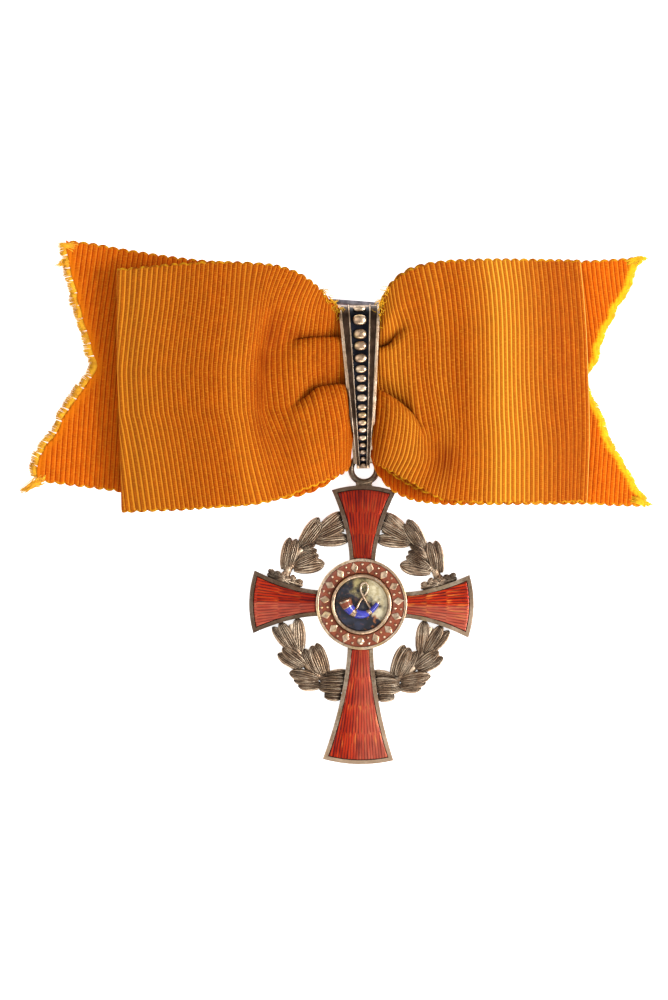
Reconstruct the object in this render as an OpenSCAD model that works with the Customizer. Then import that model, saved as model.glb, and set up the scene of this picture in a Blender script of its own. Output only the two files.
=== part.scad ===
// Honour badge on a ribbon bow: an enamelled cross with a laurel wreath hangs by a ring
// from a beaded bail that clasps a folded ribbon bow, with a brooch pin behind it.
// It lies on its back: X to the right, Y to the top of the bow, Z up from the surface.

/* [Bow] */
// Middle of the bail, across the bow
bail_x = 3.45; // [3.3:0.05:3.6]
// Thickness of the ribbon's wall
ribbon_t = 1; // [0.8:0.05:1]
// Height of the middle of the back layer over the surface, at the bail
back_z = 5.05; // [5:0.05:5.15]
// Height of the middle of the tails over the surface, at the bail
tail_z = 3.85; // [3.8:0.05:3.9]

/* [Bail] */
// Height of the bail's lower end above the bow's zero line
bail_low = 5.2; // [5.15:0.05:5.3]
// Height of the bail's upper end above the bow's zero line
bail_high = 30.6; // [30.3:0.1:30.8]
// Turn of the bail on the bow, counter-clockwise
bail_turn = 1.5; // [0:0.1:2]
// Width of the bail at its lower end
bail_low_w = 2; // [1.9:0.05:2.1]
// Width of the bail at its upper end
bail_high_w = 6.1; // [5.8:0.1:6.4]
// Thickness of the bail's strap
bail_t = 0.65; // [0.6:0.05:0.7]
// Number of beads on the bail
bead_count = 18; // [10:1:20]
// Radius of the largest bead
bead_r = 0.82; // [0.7:0.02:0.86]

/* [Cross] */
// Middle of the medallion, across
cross_x = 3.5; // [3.4:0.05:3.6]
// Middle of the medallion, along
cross_y = -15.9; // [-16:0.05:-15.8]
// Turn of the cross on the ring, clockwise
cross_turn = 1.2; // [0:0.1:1.5]
// Height of the cross's plate over the surface
plate_z = 0.3; // [0.2:0.05:0.4]
// Thickness of the cross's plate
plate_t = 1.7; // [1.6:0.05:1.8]
// Width of the metal border round the enamel
border_w = 0.85; // [0.6:0.05:0.9]
// Depth of the enamel cells
cell_depth = 0.6; // [0.4:0.05:0.7]

/* [Medallion] */
// Outer radius of the medallion
hub_r = 7.1; // [6.9:0.05:7.3]
// Outer radius of its raised bezel
bezel_r = 4.7; // [4.6:0.05:4.8]
// Radius of the sunk disc inside the bezel
disc_r = 4.15; // [4:0.05:4.2]
// Number of ornaments round the medallion
ornament_count = 15; // [9:1:17]

/* [Ring] */
// Radius of the ring, to the middle of its wire
ring_r = 2.07; // [2.05:0.01:2.1]
// Thickness of the ring's wire
ring_wire = 0.84; // [0.8:0.02:0.86]

/* [Brooch pin] */
// Length of the brooch bar
pin_len = 26; // [22:1:26]
// Thickness of the bar and of the pin's wire
pin_t = 0.8; // [0.7:0.05:0.85]

/* [Hidden] */

$fn = 64;
gap = 0.05;

function mix(a, b, t) = a + (b - a) * t;
function clamp01(t) = min(1, max(0, t));
function smooth(t) = let (c = clamp01(t)) c * c * (3 - 2 * c);
function unit(v) = v / max(norm(v), 1e-9);

// A row of a table at a place between its rows, on a smooth curve through them.
function row_at(rows, s) =
    let (
        last = len(rows) - 1,
        i = min(last - 1, max(0, floor(s))),
        t = s - i,
        a = rows[max(0, i - 1)],
        b = rows[i],
        c = rows[i + 1],
        d = rows[min(last, i + 2)]
    )
    b + t / 2 * ((c - a) + t * ((2 * a - 5 * b + 4 * c - d) + t * (3 * b - a - 3 * c + d)));

// Ribbon bow: one row for each section of a loop, from the bail out to the outer fold.
// out: distance from the bail; bulge: how far its middle stands out past its edges
// low, high: the two edges; crest, valley: heights of the puffs and of the creases
// back: height of the back layer
//            out   bulge  low   high  crest valley  back
left_rows = [
    [0.0, 0.0, 12.5, 29.0, 6.30, 6.30, back_z],
    [1.5, 0.0, 11.8, 29.0, 6.30, 6.30, back_z],
    [2.2, 0.0, 6.0, 29.0, 6.40, 6.25, back_z],
    [3.7, 0.1, 3.9, 29.2, 7.20, 6.25, 5.05],
    [4.6, 0.4, 3.3, 30.7, 7.90, 6.25, 5.05],
    [6.5, 1.0, 2.6, 32.8, 8.60, 6.35, 5.00],
    [9.5, 2.3, 1.4, 35.3, 9.10, 6.60, 4.95],
    [13.0, 2.6, 0.4, 36.6, 9.50, 7.30, 4.80],
    [16.5, 1.3, -0.3, 36.8, 9.90, 9.30, 4.60],
    [21.0, 0.2, -0.8, 36.7, 9.90, 9.90, 4.30],
    [28.0, 0.0, -1.1, 36.3, 8.60, 8.60, 3.60],
    [33.5, 0.0, -1.3, 36.0, 6.40, 6.40, 2.90],
    [36.0, 0.0, -1.4, 35.9, 5.20, 5.20, 2.60]
];
right_rows = [
    [0.0, 0.0, 12.5, 29.0, 6.30, 6.30, back_z],
    [1.9, 0.0, 11.8, 29.0, 6.30, 6.30, back_z],
    [2.5, 0.0, 6.4, 29.0, 6.40, 6.25, back_z],
    [3.4, 0.0, 4.7, 29.6, 7.20, 6.25, 5.05],
    [4.1, 0.2, 4.2, 32.6, 7.80, 6.25, 5.05],
    [5.6, 0.6, 3.3, 35.5, 8.50, 6.35, 5.00],
    [8.5, 1.8, 1.9, 36.9, 9.00, 6.80, 4.95],
    [12.0, 2.5, 0.8, 37.3, 9.40, 7.70, 4.80],
    [16.0, 1.6, 0.2, 37.4, 9.80, 9.00, 4.60],
    [20.5, 0.6, 0.1, 37.4, 9.80, 9.80, 4.30],
    [26.5, 0.3, 0.1, 37.4, 8.50, 8.50, 3.60],
    [31.0, 0.6, 0.2, 37.4, 6.40, 6.40, 2.90],
    [33.3, 1.0, 0.3, 37.4, 5.20, 5.20, 2.60]
];

// Folds across the ribbon, from the low edge to the high one.
// near, far: share of the width at the bail and where the fold runs out; low: 0 crest, 1 crease
//            near  far   low
left_folds = [
    [0.00, 0.00, 0.45],
    [0.12, 0.10, 0.12],
    [0.30, 0.24, 0.00],
    [0.46, 0.36, 0.10],
    [0.56, 0.45, 1.00],
    [0.60, 0.49, 0.78],
    [0.72, 0.57, 0.62],
    [0.82, 0.65, 0.80],
    [0.85, 0.68, 1.00],
    [0.89, 0.76, 0.30],
    [0.95, 0.90, 0.10],
    [1.00, 1.00, 0.45]
];
right_folds = [
    [0.00, 0.00, 0.45],
    [0.12, 0.06, 0.12],
    [0.30, 0.12, 0.00],
    [0.44, 0.20, 0.10],
    [0.50, 0.26, 1.00],
    [0.55, 0.32, 0.72],
    [0.66, 0.45, 0.40],
    [0.75, 0.58, 0.70],
    [0.79, 0.66, 1.00],
    [0.85, 0.76, 0.40],
    [0.94, 0.90, 0.10],
    [1.00, 1.00, 0.45]
];
fold_reach = 14;       // distance over which a fold runs from its near to its far place
across = 18;           // stations across the ribbon
fold_turns = 4;        // stations round an outer fold
left_bulge_at = 0.62;  // share of the width where the left loop bulges most
right_bulge_at = 0.35;

function fold_place(folds, k, out) =
    mix(folds[k][0], folds[k][1], smooth((out - 3) / fold_reach));
// Stations across the width are taken at the folds and between them.
function across_at(folds, j, out) =
    let (s = j * (len(folds) - 1) / (across - 1), k = min(len(folds) - 2, floor(s)))
    mix(fold_place(folds, k, out), fold_place(folds, k + 1, out), s - k);
function lowness(folds, j) =
    let (s = j * (len(folds) - 1) / (across - 1), k = min(len(folds) - 2, floor(s)))
    mix(folds[k][2], folds[k + 1][2], s - k);
function hump(v, at) = let (q = (v - at) / (v < at ? at : 1 - at)) 1 - q * q;

function loop_front(rows, folds, side, bulge_at, s) =
    let (r = row_at(rows, s))
    [for (j = [0:across - 1])
        let (v = across_at(folds, j, r[0]), low = lowness(folds, j))
        [
            bail_x + side * (r[0] + r[1] * hump(v, bulge_at)),
            mix(r[2], r[3], v),
            mix(r[4], r[5], low)
        ]];
function loop_back(rows, folds, side, bulge_at, s) =
    let (r = row_at(rows, s))
    [for (j = [0:across - 1])
        let (v = across_at(folds, j, r[0]))
        [bail_x + side * (r[0] + r[1] * hump(v, bulge_at) * smooth((r[0] - 20) / 8)),
            mix(r[2], r[3], v), r[6]]];
// The outer fold goes round half a turn from the front layer to the back one.
function loop_turn(rows, folds, side, bulge_at, t) =
    let (
        n = len(rows) - 1,
        front = loop_front(rows, folds, side, bulge_at, n),
        back = loop_back(rows, folds, side, bulge_at, n),
        angle = 180 * t
    )
    [for (j = [0:across - 1])
        let (reach = (front[j][2] - back[j][2]) / 2)
        (front[j] + back[j]) / 2 + reach * [side * sin(angle), 0, cos(angle)]];

function loop_sections(rows, folds, side, bulge_at) =
    let (last = len(rows) - 1)
    concat(
        [for (s = [1:0.5:last]) loop_front(rows, folds, side, bulge_at, s)],
        [for (k = [1:fold_turns]) loop_turn(rows, folds, side, bulge_at, k / (fold_turns + 1))],
        [for (s = [last, last - 1.5, last - 3, last - 4.5])
            loop_back(rows, folds, side, bulge_at, s)],
        [for (s = [last - 6:-1:1]) loop_back(rows, folds, side, bulge_at, s)]
    );
function reversed(list) = [for (i = [len(list) - 1:-1:0]) list[i]];
bow_sections = concat(
    loop_sections(left_rows, left_folds, -1, left_bulge_at),
    reversed(loop_sections(right_rows, right_folds, 1, right_bulge_at))
);

// Walls: a grid of points given thickness along its own normals.
function grid_normal(g, i, j, closed) =
    let (
        n = len(g),
        m = len(g[0]),
        a = closed ? g[(i + 1) % n][j] : g[min(n - 1, i + 1)][j],
        b = closed ? g[(i + n - 1) % n][j] : g[max(0, i - 1)][j],
        c = g[i][min(m - 1, j + 1)],
        d = g[i][max(0, j - 1)]
    )
    unit(cross(a - b, c - d));
module wall(g, t, closed) {
    n = len(g);
    m = len(g[0]);
    last = closed ? n - 1 : n - 2;
    skin = [for (side = [1, -1], i = [0:n - 1], j = [0:m - 1])
        g[i][j] + side * t / 2 * grid_normal(g, i, j, closed)];
    function at(side, i, j) = side * n * m + (i % n) * m + j;
    faces = concat(
        [for (i = [0:last], j = [0:m - 2]) each [
            [at(0, i, j), at(0, i, j + 1), at(0, i + 1, j + 1)],
            [at(0, i, j), at(0, i + 1, j + 1), at(0, i + 1, j)],
            [at(1, i, j), at(1, i + 1, j + 1), at(1, i, j + 1)],
            [at(1, i, j), at(1, i + 1, j), at(1, i + 1, j + 1)]
        ]],
        [for (i = [0:last]) each [
            [at(0, i, 0), at(0, i + 1, 0), at(1, i + 1, 0)],
            [at(0, i, 0), at(1, i + 1, 0), at(1, i, 0)],
            [at(0, i, m - 1), at(1, i + 1, m - 1), at(0, i + 1, m - 1)],
            [at(0, i, m - 1), at(1, i, m - 1), at(1, i + 1, m - 1)]
        ]],
        closed ? [] : [for (j = [0:m - 2]) each [
            [at(0, 0, j), at(1, 0, j), at(1, 0, j + 1)],
            [at(0, 0, j), at(1, 0, j + 1), at(0, 0, j + 1)],
            [at(0, n - 1, j), at(1, n - 1, j + 1), at(1, n - 1, j)],
            [at(0, n - 1, j), at(0, n - 1, j + 1), at(1, n - 1, j + 1)]
        ]]
    );
    polyhedron(points = skin, faces = faces, convexity = 10);
}

// Tails: one row for each section, from the bail out to the swallow-tail end.
// out: distance from the bail; low, high: the edges; height: middle of the wall
left_tail_rows = [
    [0.0, 12.5, 28.0, tail_z],
    [1.5, 11.8, 28.0, tail_z],
    [3.8, 6.0, 28.0, tail_z],
    [5.4, 3.3, 31.2, tail_z],
    [9.0, 1.6, 34.9, 3.80],
    [14.0, 0.1, 36.4, 3.50],
    [20.0, -0.4, 36.7, 3.05],
    [27.0, 0.2, 37.6, 2.20],
    [35.0, 1.2, 38.8, 1.40],
    [43.0, 2.3, 39.9, 0.85],
    [51.4, 3.4, 41.1, 0.60]
];
right_tail_rows = [
    [0.0, 12.5, 28.0, tail_z],
    [1.5, 11.8, 28.0, tail_z],
    [3.5, 5.0, 28.0, tail_z],
    [4.7, 2.4, 32.8, tail_z],
    [7.0, 0.9, 36.8, 3.82],
    [11.0, -0.1, 37.4, 3.60],
    [17.0, -0.3, 37.0, 3.30],
    [24.0, -0.4, 37.0, 2.50],
    [31.0, -0.4, 37.1, 1.60],
    [38.0, -0.5, 37.5, 1.00],
    [44.6, -0.8, 38.0, 0.60]
];
tail_across = 15;
// The two points of each end and the root of the notch between them, as distances out.
//            low point  root   high point  share of the width at the root
left_notch = [51.4, 41.5, 46.9, 0.46];
right_notch = [44.6, 34.3, 43.9, 0.48];
function notch_out(notch, v) = v < notch[3]
    ? mix(notch[0], notch[1], v / notch[3])
    : mix(notch[1], notch[2], (v - notch[3]) / (1 - notch[3]));
// Number of the row that lies a given distance out.
function row_number(rows, out) =
    let (i = max([for (k = [0:len(rows) - 2]) rows[k][0] <= out ? k : 0]))
    i + (out - rows[i][0]) / (rows[i + 1][0] - rows[i][0]);
function tail_point(rows, notch, side, share, v) =
    let (out = share * notch_out(notch, v), r = row_at(rows, row_number(rows, out)))
    [bail_x + side * out, mix(r[1], r[2], v), r[3]];
tail_shares = [0.04, 0.055, 0.08, 0.12, 0.17, 0.23, 0.31, 0.42, 0.55, 0.7, 0.85, 1];
function tail_sections(rows, notch, side) =
    [for (share = tail_shares) [for (j = [0:tail_across - 1])
        tail_point(rows, notch, side, share, j / (tail_across - 1))]];

module ribbon_bow() {
    color("darkorange") wall(bow_sections, ribbon_t, true);
}

module ribbon_tails() {
    color("orangered") wall(
        concat(
            reversed(tail_sections(left_tail_rows, left_notch, -1)),
            tail_sections(right_tail_rows, right_notch, 1)
        ),
        ribbon_t, false
    );
}

// Bail: a closed strap, seen from the side as a long loop with a small eye at its lower end.
bail_front_z = 8.6;     // top of the strap over the bow
bail_back_z = 2.5;      // underside of the strap behind the bow
bail_floor_z = 0.15;    // underside of the eye
eye_r = 1.4;
eye_y = bail_low + eye_r;
eye_z = bail_floor_z + eye_r;
slope = 40;             // rise of the front strap from the eye
turn_r = (bail_front_z - bail_back_z) / 2;
turn_y = bail_high - turn_r;
turn_z = bail_back_z + turn_r;
ramp_start = 9.5;       // the back strap climbs from here to here
ramp_end = 13.5;
ramp_corner = tan(atan((bail_back_z - bail_floor_z) / (ramp_end - ramp_start)) / 2);
function slope_foot(d) =
    [eye_y + (eye_r - d) * cos(90 + slope), eye_z + (eye_r - d) * sin(90 + slope)];
// Outline of the strap from the side, moved inwards by d.
function bail_outline(d) =
    let (foot = slope_foot(d), top = bail_front_z - d)
    concat(
        [for (a = [90:-10:-90]) [turn_y + (turn_r - d) * cos(a), turn_z + (turn_r - d) * sin(a)]],
        [
            [ramp_end - d * ramp_corner, bail_back_z + d],
            [ramp_start - d * ramp_corner, bail_floor_z + d]
        ],
        [for (a = [-90:-14:-230]) [eye_y + (eye_r - d) * cos(a), eye_z + (eye_r - d) * sin(a)]],
        [[foot[0] + (top - foot[1]) / tan(slope), top]]
    );
// Height of the front strap's top at a place along it.
function strap_top(y) =
    let (foot = slope_foot(0))
    y > turn_y
        ? turn_z + sqrt(max(0, turn_r * turn_r - pow(y - turn_y, 2)))
        : min(bail_front_z, foot[1] + (y - foot[0]) * tan(slope));
function taper(low_w, high_w, y) =
    mix(low_w, high_w, (y - bail_low) / (bail_high - bail_low)) / 2;
module side_prism(outline, width) {
    translate([bail_x - width / 2, 0, 0])
        rotate([90, 0, 90]) linear_extrude(width) polygon(outline);
}
module strap_band(low_w, high_w) {
    polygon([for (p = [[-1, bail_low], [1, bail_low], [1, bail_high], [-1, bail_high]])
        [bail_x + p[0] * taper(low_w, high_w, p[1]), p[1]]]);
}
flute_depth = 0.3;
channel_depth = 0.4;
channel_low_w = 1.0;
channel_high_w = 2.3;
rim_w = 0.24;
flute_start = 9;        // the side flutes run out before the narrow lower end
module flute(side) {
    inner = rim_w;
    polygon([for (p = [[0, flute_start], [1, flute_start], [1, bail_high], [0, bail_high]])
        let (
            from = taper(channel_low_w, channel_high_w, p[1]) + inner,
            to = taper(bail_low_w, bail_high_w, p[1]) - inner
        )
        [bail_x + side * mix(from, max(from + 0.1, to), p[0]), p[1]]]);
}
bead_first = 30;        // place of the highest bead
bead_step = 1.97;       // distance to the next one, which shrinks down the strap
bead_shrink = 0.9576;
bead_r_shrink = 0.945;
function bead_y(k) = bead_first - bead_step * (1 - pow(bead_shrink, k)) / (1 - bead_shrink);

bail_middle = 18;
module bail() {
    color("tan") translate([bail_x, bail_middle, 0]) rotate([0, 0, bail_turn])
    translate([-bail_x, -bail_middle, 0]) {
        difference() {
            intersection() {
                difference() {
                    side_prism(bail_outline(0), bail_high_w + 1);
                    side_prism(bail_outline(bail_t), bail_high_w + 2);
                }
                linear_extrude(bail_front_z + 1) strap_band(bail_low_w, bail_high_w);
            }
            intersection() {
                difference() {
                    side_prism(bail_outline(-1), bail_high_w + 1);
                    side_prism(bail_outline(channel_depth), bail_high_w + 2);
                }
                translate([0, 0, turn_z]) linear_extrude(bail_front_z)
                    strap_band(channel_low_w, channel_high_w);
            }
            intersection() {
                difference() {
                    side_prism(bail_outline(-1), bail_high_w + 1);
                    side_prism(bail_outline(flute_depth), bail_high_w + 2);
                }
                translate([0, 0, turn_z]) linear_extrude(bail_front_z) {
                    flute(-1);
                    flute(1);
                }
            }
        }
        for (k = [0:bead_count - 1]) {
            r = bead_r * pow(bead_r_shrink, k);
            y = bead_y(k);
            translate([bail_x, y, strap_top(y) - channel_depth - 0.1]) sphere(r);
        }
    }
}

// Brooch pin: a bar against the back of the bow, with the pin's wire below it.
pin_tilt = -4.4;
pin_y = 30.85;
bar_top = 2.8;
module brooch_pin() {
    color("slategray")
    translate([bail_x, pin_y, 0]) rotate([0, 0, pin_tilt]) {
        translate([-pin_len / 2, -pin_t / 2, bar_top - 0.9]) cube([pin_len, pin_t, 0.9]);
        translate([-pin_len / 2, 0, pin_t / 2]) rotate([0, 90, 0]) cylinder(h = pin_len, d = pin_t);
        for (end = [-pin_len / 2, pin_len / 2 - 2])
            translate([end, -0.6, 0.1]) cube([2, 1.2, bar_top - 0.1]);
    }
}

// Cross: each arm's outline along +Y, with hollow sides and a slightly rounded end.
// length, half width at the end, rise of the rounded end
top_arm = [18.5, 5.0, 0.85];
side_arm = [17.5, 4.9, 0.75];
bottom_arm = [24.8, 5.5, 0.7];
arm_root_r = 6.7;
arm_root_half = 2.0;
arm_curve = 1.75;       // 1 is a straight side, more is a hollow one
arm_steps = 8;
function arm_side(arm, t) = [
    mix(arm_root_half, arm[1], pow(t, arm_curve)),
    mix(arm_root_r, arm[0] - arm[2], t)
];
function arm_outline(arm) =
    let (
        side = [for (i = [0:arm_steps]) arm_side(arm, i / arm_steps)],
        end = [for (i = [1:arm_steps - 1])
            let (x = arm[1] * (1 - 2 * i / arm_steps))
            [x, arm[0] - arm[2] * pow(x / arm[1], 2)]]
    )
    concat(side, end, [for (p = reversed(side)) [-p[0], p[1]]]);
// A cell keeps the border's width off the arm's sides, and a third less off its end.
function cell_outline(arm, inset) =
    let (
        end_y = arm[0] - arm[2] - inset * 0.7,
        root_y = hub_r + 0.1 + inset * 0.2,
        half = function (y) arm_root_half - inset
            + (arm[1] - arm_root_half) * pow((y - arm_root_r) / (arm[0] - arm[2] - arm_root_r), arm_curve),
        side = [for (i = [0:arm_steps]) let (y = mix(root_y, end_y, i / arm_steps)) [half(y), y]],
        w = half(end_y),
        end = [for (i = [1:arm_steps - 1])
            let (x = w * (1 - 2 * i / arm_steps))
            [x, end_y + arm[2] * (1 - pow(x / w, 2))]]
    )
    concat(side, end, [for (p = reversed(side)) [-p[0], p[1]]]);
plate_top = plate_z + plate_t;
hub_top = plate_top + 0.3;
bezel_top = plate_top + 0.9;
band_in = bezel_r + 0.15;   // the enamelled band between the bezel and the outer rim
band_out = hub_r - 0.45;
band_floor = hub_top - cell_depth;
disc_floor = plate_top - 0.2;

module on_cross() {
    translate([cross_x, cross_y, 0]) rotate([0, 0, -cross_turn]) children();
}
module turned_arm(turn) {
    rotate([0, 0, turn]) children();
}
module arm_metal(arm, turn) {
    turned_arm(turn) difference() {
        translate([0, 0, plate_z]) linear_extrude(plate_t) polygon(arm_outline(arm));
        translate([0, 0, plate_top - cell_depth]) linear_extrude(cell_depth + 1)
            polygon(cell_outline(arm, border_w));
    }
}
module enamel(arm, turn) {
    color("firebrick") on_cross() turned_arm(turn)
        translate([0, 0, plate_top - cell_depth + gap]) linear_extrude(cell_depth - 0.15)
            polygon(cell_outline(arm, border_w + gap));
}
module ring_band(outer, inner, bottom, top) {
    translate([0, 0, bottom]) difference() {
        cylinder(h = top - bottom, r = outer);
        translate([0, 0, -1]) cylinder(h = top - bottom + 2, r = inner);
    }
}

// Ornaments round the medallion: a boss at the foot, then lozenges between pairs of pellets.
ornament_r = (band_in + band_out) / 2;
module ornament_outlines(grow) {
    for (k = [0:ornament_count - 1]) {
        turn = -90 + 360 * k / ornament_count;
        rotate([0, 0, turn]) translate([ornament_r, 0]) {
            if (k == 0) circle(r = 0.55 + grow);
            else polygon([[0.62 + grow, 0], [0, 0.34 + grow], [-0.62 - grow, 0], [0, -0.34 - grow]]);
        }
        rotate([0, 0, turn + 180 / ornament_count]) for (r = [-0.38, 0.38])
            translate([ornament_r + r, 0]) circle(r = 0.17 + grow);
    }
}

// Wreath: leaves of the right-hand branch, and the left-hand one is its mirror image.
// foot_x, foot_y, tip_x, tip_y: from the medallion's middle
// width; level: a leaf of a higher level lies over a lower one
wreath_z = plate_z + 0.35;
leaf_rows = [
    [12.3, 5.1, 11.4, 10.0, 1.30, 0.30],
    [11.4, 5.6, 10.4, 9.8, 1.25, 0.50],
    [10.7, 5.3, 6.0, 6.2, 1.75, 0.35],
    [10.4, 5.9, 6.9, 7.5, 1.20, 0.55],
    [10.0, 6.8, 7.2, 8.3, 1.10, 0.40],
    [9.8, 8.7, 7.0, 13.2, 1.50, 0.30],
    [9.1, 8.8, 6.4, 12.5, 1.35, 0.55],
    [9.3, 8.4, 7.4, 9.3, 0.80, 0.70],
    [7.4, 10.3, 3.4, 14.0, 1.55, 0.30],
    [7.3, 10.1, 2.9, 12.4, 1.30, 0.60],
    [7.4, 9.6, 2.3, 10.2, 1.50, 0.45],
    [10.4, -7.7, 13.7, -4.0, 1.25, 0.30],
    [10.0, -7.5, 12.6, -3.2, 1.40, 0.55],
    [9.4, -7.7, 9.9, -2.5, 1.60, 0.40],
    [8.6, -9.7, 12.1, -7.2, 1.45, 0.60],
    [9.0, -10.3, 12.8, -8.1, 1.35, 0.35],
    [5.1, -11.3, 6.8, -6.4, 1.40, 0.30],
    [5.8, -11.1, 7.6, -6.8, 1.60, 0.60],
    [6.6, -11.2, 8.7, -7.3, 1.25, 0.40],
    [6.4, -11.8, 10.9, -11.0, 1.45, 0.60],
    [6.4, -12.2, 10.2, -12.1, 1.20, 0.45],
    [5.9, -12.8, 9.5, -13.0, 1.25, 0.30],
    [5.6, -11.4, 1.9, -10.7, 1.10, 0.35],
    [6.2, -12.2, 2.1, -12.0, 1.20, 0.65],
    [6.3, -13.2, 2.4, -13.3, 1.25, 0.50],
    [5.5, -14.4, 2.7, -14.5, 1.15, 0.30]
];
// share of the length, share of the half width
leaf_shape = [[0.0, 0.28], [0.12, 0.62], [0.28, 0.92], [0.46, 1.0], [0.64, 0.9], [0.82, 0.58]];
function leaf_outline(row) =
    let (
        foot = [row[0], row[1]],
        tip = [row[2], row[3]],
        along = unit(tip - foot),
        off = [-along[1], along[0]] * row[4] / 2,
        side = function (way) [for (s = leaf_shape) foot + (tip - foot) * s[0] + way * off * s[1]]
    )
    concat(side(1), [tip], reversed(side(-1)));
// Each tier is a step of the cast relief: height over the wreath's back, how far it keeps
// inside the leaf's outline, and how far it keeps off the leaves that lie over it.
leaf_tiers = [[0.75, 0, 0], [1.05, 0.13, 0.12], [1.3, 0.36, 0.2]];
function over(a, b) = leaf_rows[b][5] > leaf_rows[a][5];
module leaf_tier(tier) {
    for (i = [0:len(leaf_rows) - 1]) difference() {
        offset(delta = -tier[1]) polygon(leaf_outline(leaf_rows[i]));
        for (j = [0:len(leaf_rows) - 1]) if (tier[1] > 0 && over(i, j))
            offset(delta = tier[2] - tier[1]) polygon(leaf_outline(leaf_rows[j]));
    }
}
// x, y of the stems' bends, from the medallion's middle
upper_stem = [[11.9, 4.6], [11.2, 6.1], [9.6, 8.4], [7.4, 10.0], [3.0, 11.6]];
upper_twig = [[11.3, 5.8], [9.6, 6.6]];
lower_stem = [[2.4, -12.4], [5.9, -12.0], [8.6, -9.6], [9.8, -7.6], [10.9, -3.4]];
stem_w = 0.85;
module stem(bends) {
    for (i = [0:len(bends) - 2])
        let (a = bends[i], b = bends[i + 1], off = unit([a[1] - b[1], b[0] - a[0]]) * stem_w / 2)
        polygon([a + off, a - off, b - off, b + off]);
    for (p = bends) translate(p) circle(d = stem_w, $fn = 12);
}
// Soldered feet of the branches on the upper sides of the side arms: x, y, radius
foot_beads = [[9.5, 3.5, 0.55], [10.7, 3.9, 0.6], [12.2, 4.3, 0.6], [13.3, 4.5, 0.5], [14.3, 4.8, 0.5]];
foot_bar = [[9.2, 2.6], [14.8, 4.0], [14.6, 4.8], [9.1, 3.5]];
module wreath_feet() {
    polygon(foot_bar);
    for (b = foot_beads) translate([b[0], b[1]]) circle(r = b[2], $fn = 16);
}
module wreath_half() {
    translate([0, 0, wreath_z]) {
        for (tier = leaf_tiers) linear_extrude(tier[0]) offset(delta = 0.01) {
            leaf_tier(tier);
            if (tier[1] == 0) {
                stem(upper_stem);
                stem(upper_twig);
                stem(lower_stem);
            }
        }
        linear_extrude(1.2) wreath_feet();
    }
}

// The ring lies in the plane of the cross, and a neck joins it to the top arm.
ring_x = 3.9;
ring_y = 5.15;
ring_z = 1.4;
module suspension_ring() {
    translate([ring_x, ring_y, ring_z]) rotate_extrude() translate([ring_r, 0]) circle(d = ring_wire);
    neck_y = cross_y + top_arm[0];
    translate([0, 0, ring_z - 0.45]) linear_extrude(0.9) polygon([
        [ring_x - 1.3, ring_y - ring_r - 0.1], [ring_x + 1.3, ring_y - ring_r - 0.1],
        [ring_x + 1.5, neck_y - 0.4], [ring_x - 1.5, neck_y - 0.4]
    ]);
}

module cross_frame() {
    color("tan") {
        on_cross() {
            arm_metal(top_arm, 0);
            arm_metal(side_arm, 90);
            arm_metal(side_arm, -90);
            arm_metal(bottom_arm, 180);
            ring_band(hub_r, band_out, plate_z, hub_top);
            ring_band(bezel_r, disc_r, plate_z, bezel_top);
            cylinder(h = disc_floor, r = bezel_r);
            translate([0, 0, plate_z]) cylinder(h = band_floor - plate_z, r = hub_r);
            translate([0, 0, band_floor - 0.1]) linear_extrude(cell_depth + 0.15)
                ornament_outlines(0);
            wreath_half();
            mirror([1, 0, 0]) wreath_half();
        }
        suspension_ring();
    }
}
module enamel_top() { enamel(top_arm, 0); }
module enamel_left() { enamel(side_arm, 90); }
module enamel_right() { enamel(side_arm, -90); }
module enamel_bottom() { enamel(bottom_arm, 180); }

module medallion_enamel() {
    color("sienna") on_cross() translate([0, 0, band_floor + gap])
        linear_extrude(cell_depth - 0.15) difference() {
            circle(r = band_out - gap);
            circle(r = band_in + gap);
            ornament_outlines(gap);
        }
}

// The disc is sunk in the bezel, and carries the horn and its cord in relief.
disc_z = disc_floor + gap;
disc_t = 0.25;
relief_z = disc_z + disc_t + gap;
module medallion_disc() {
    color("darkslategray") on_cross() translate([0, 0, disc_z]) cylinder(h = disc_t, r = disc_r - gap);
}
module tube(points, radii) {
    sides = 10;
    n = len(points);
    rings = [for (i = [0:n - 1])
        let (
            along = unit(points[min(n - 1, i + 1)] - points[max(0, i - 1)]),
            out = unit(cross(along, [0, 0, 1])),
            up = cross(out, along)
        )
        for (k = [0:sides - 1]) let (a = 360 * k / sides)
            points[i] + radii[i] * (cos(a) * out + sin(a) * up)];
    faces = concat(
        [[for (k = [sides - 1:-1:0]) k]],
        [for (i = [0:n - 2], k = [0:sides - 1]) let (k2 = (k + 1) % sides)
            [i * sides + k, i * sides + k2, (i + 1) * sides + k2, (i + 1) * sides + k]],
        [[for (k = [0:sides - 1]) (n - 1) * sides + k]]
    );
    polyhedron(points = rings, faces = [for (f = faces) reversed(f)], convexity = 6);
}
horn_arc_r = 2.0;
horn_steps = 10;
horn_bell_r = 0.62;
horn_mouth_r = 0.2;
function horn_radius(t) = mix(horn_mouth_r, horn_bell_r, pow(1 - t, 1.4));
function horn_point(t) =
    let (a = mix(195, 350, t))
    [horn_arc_r * cos(a), 0.35 + horn_arc_r * sin(a), relief_z + horn_radius(t)];
module horn() {
    color("royalblue") on_cross() tube(
        [for (i = [0:horn_steps]) horn_point(i / horn_steps)],
        [for (i = [0:horn_steps]) horn_radius(i / horn_steps)]
    );
}
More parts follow.
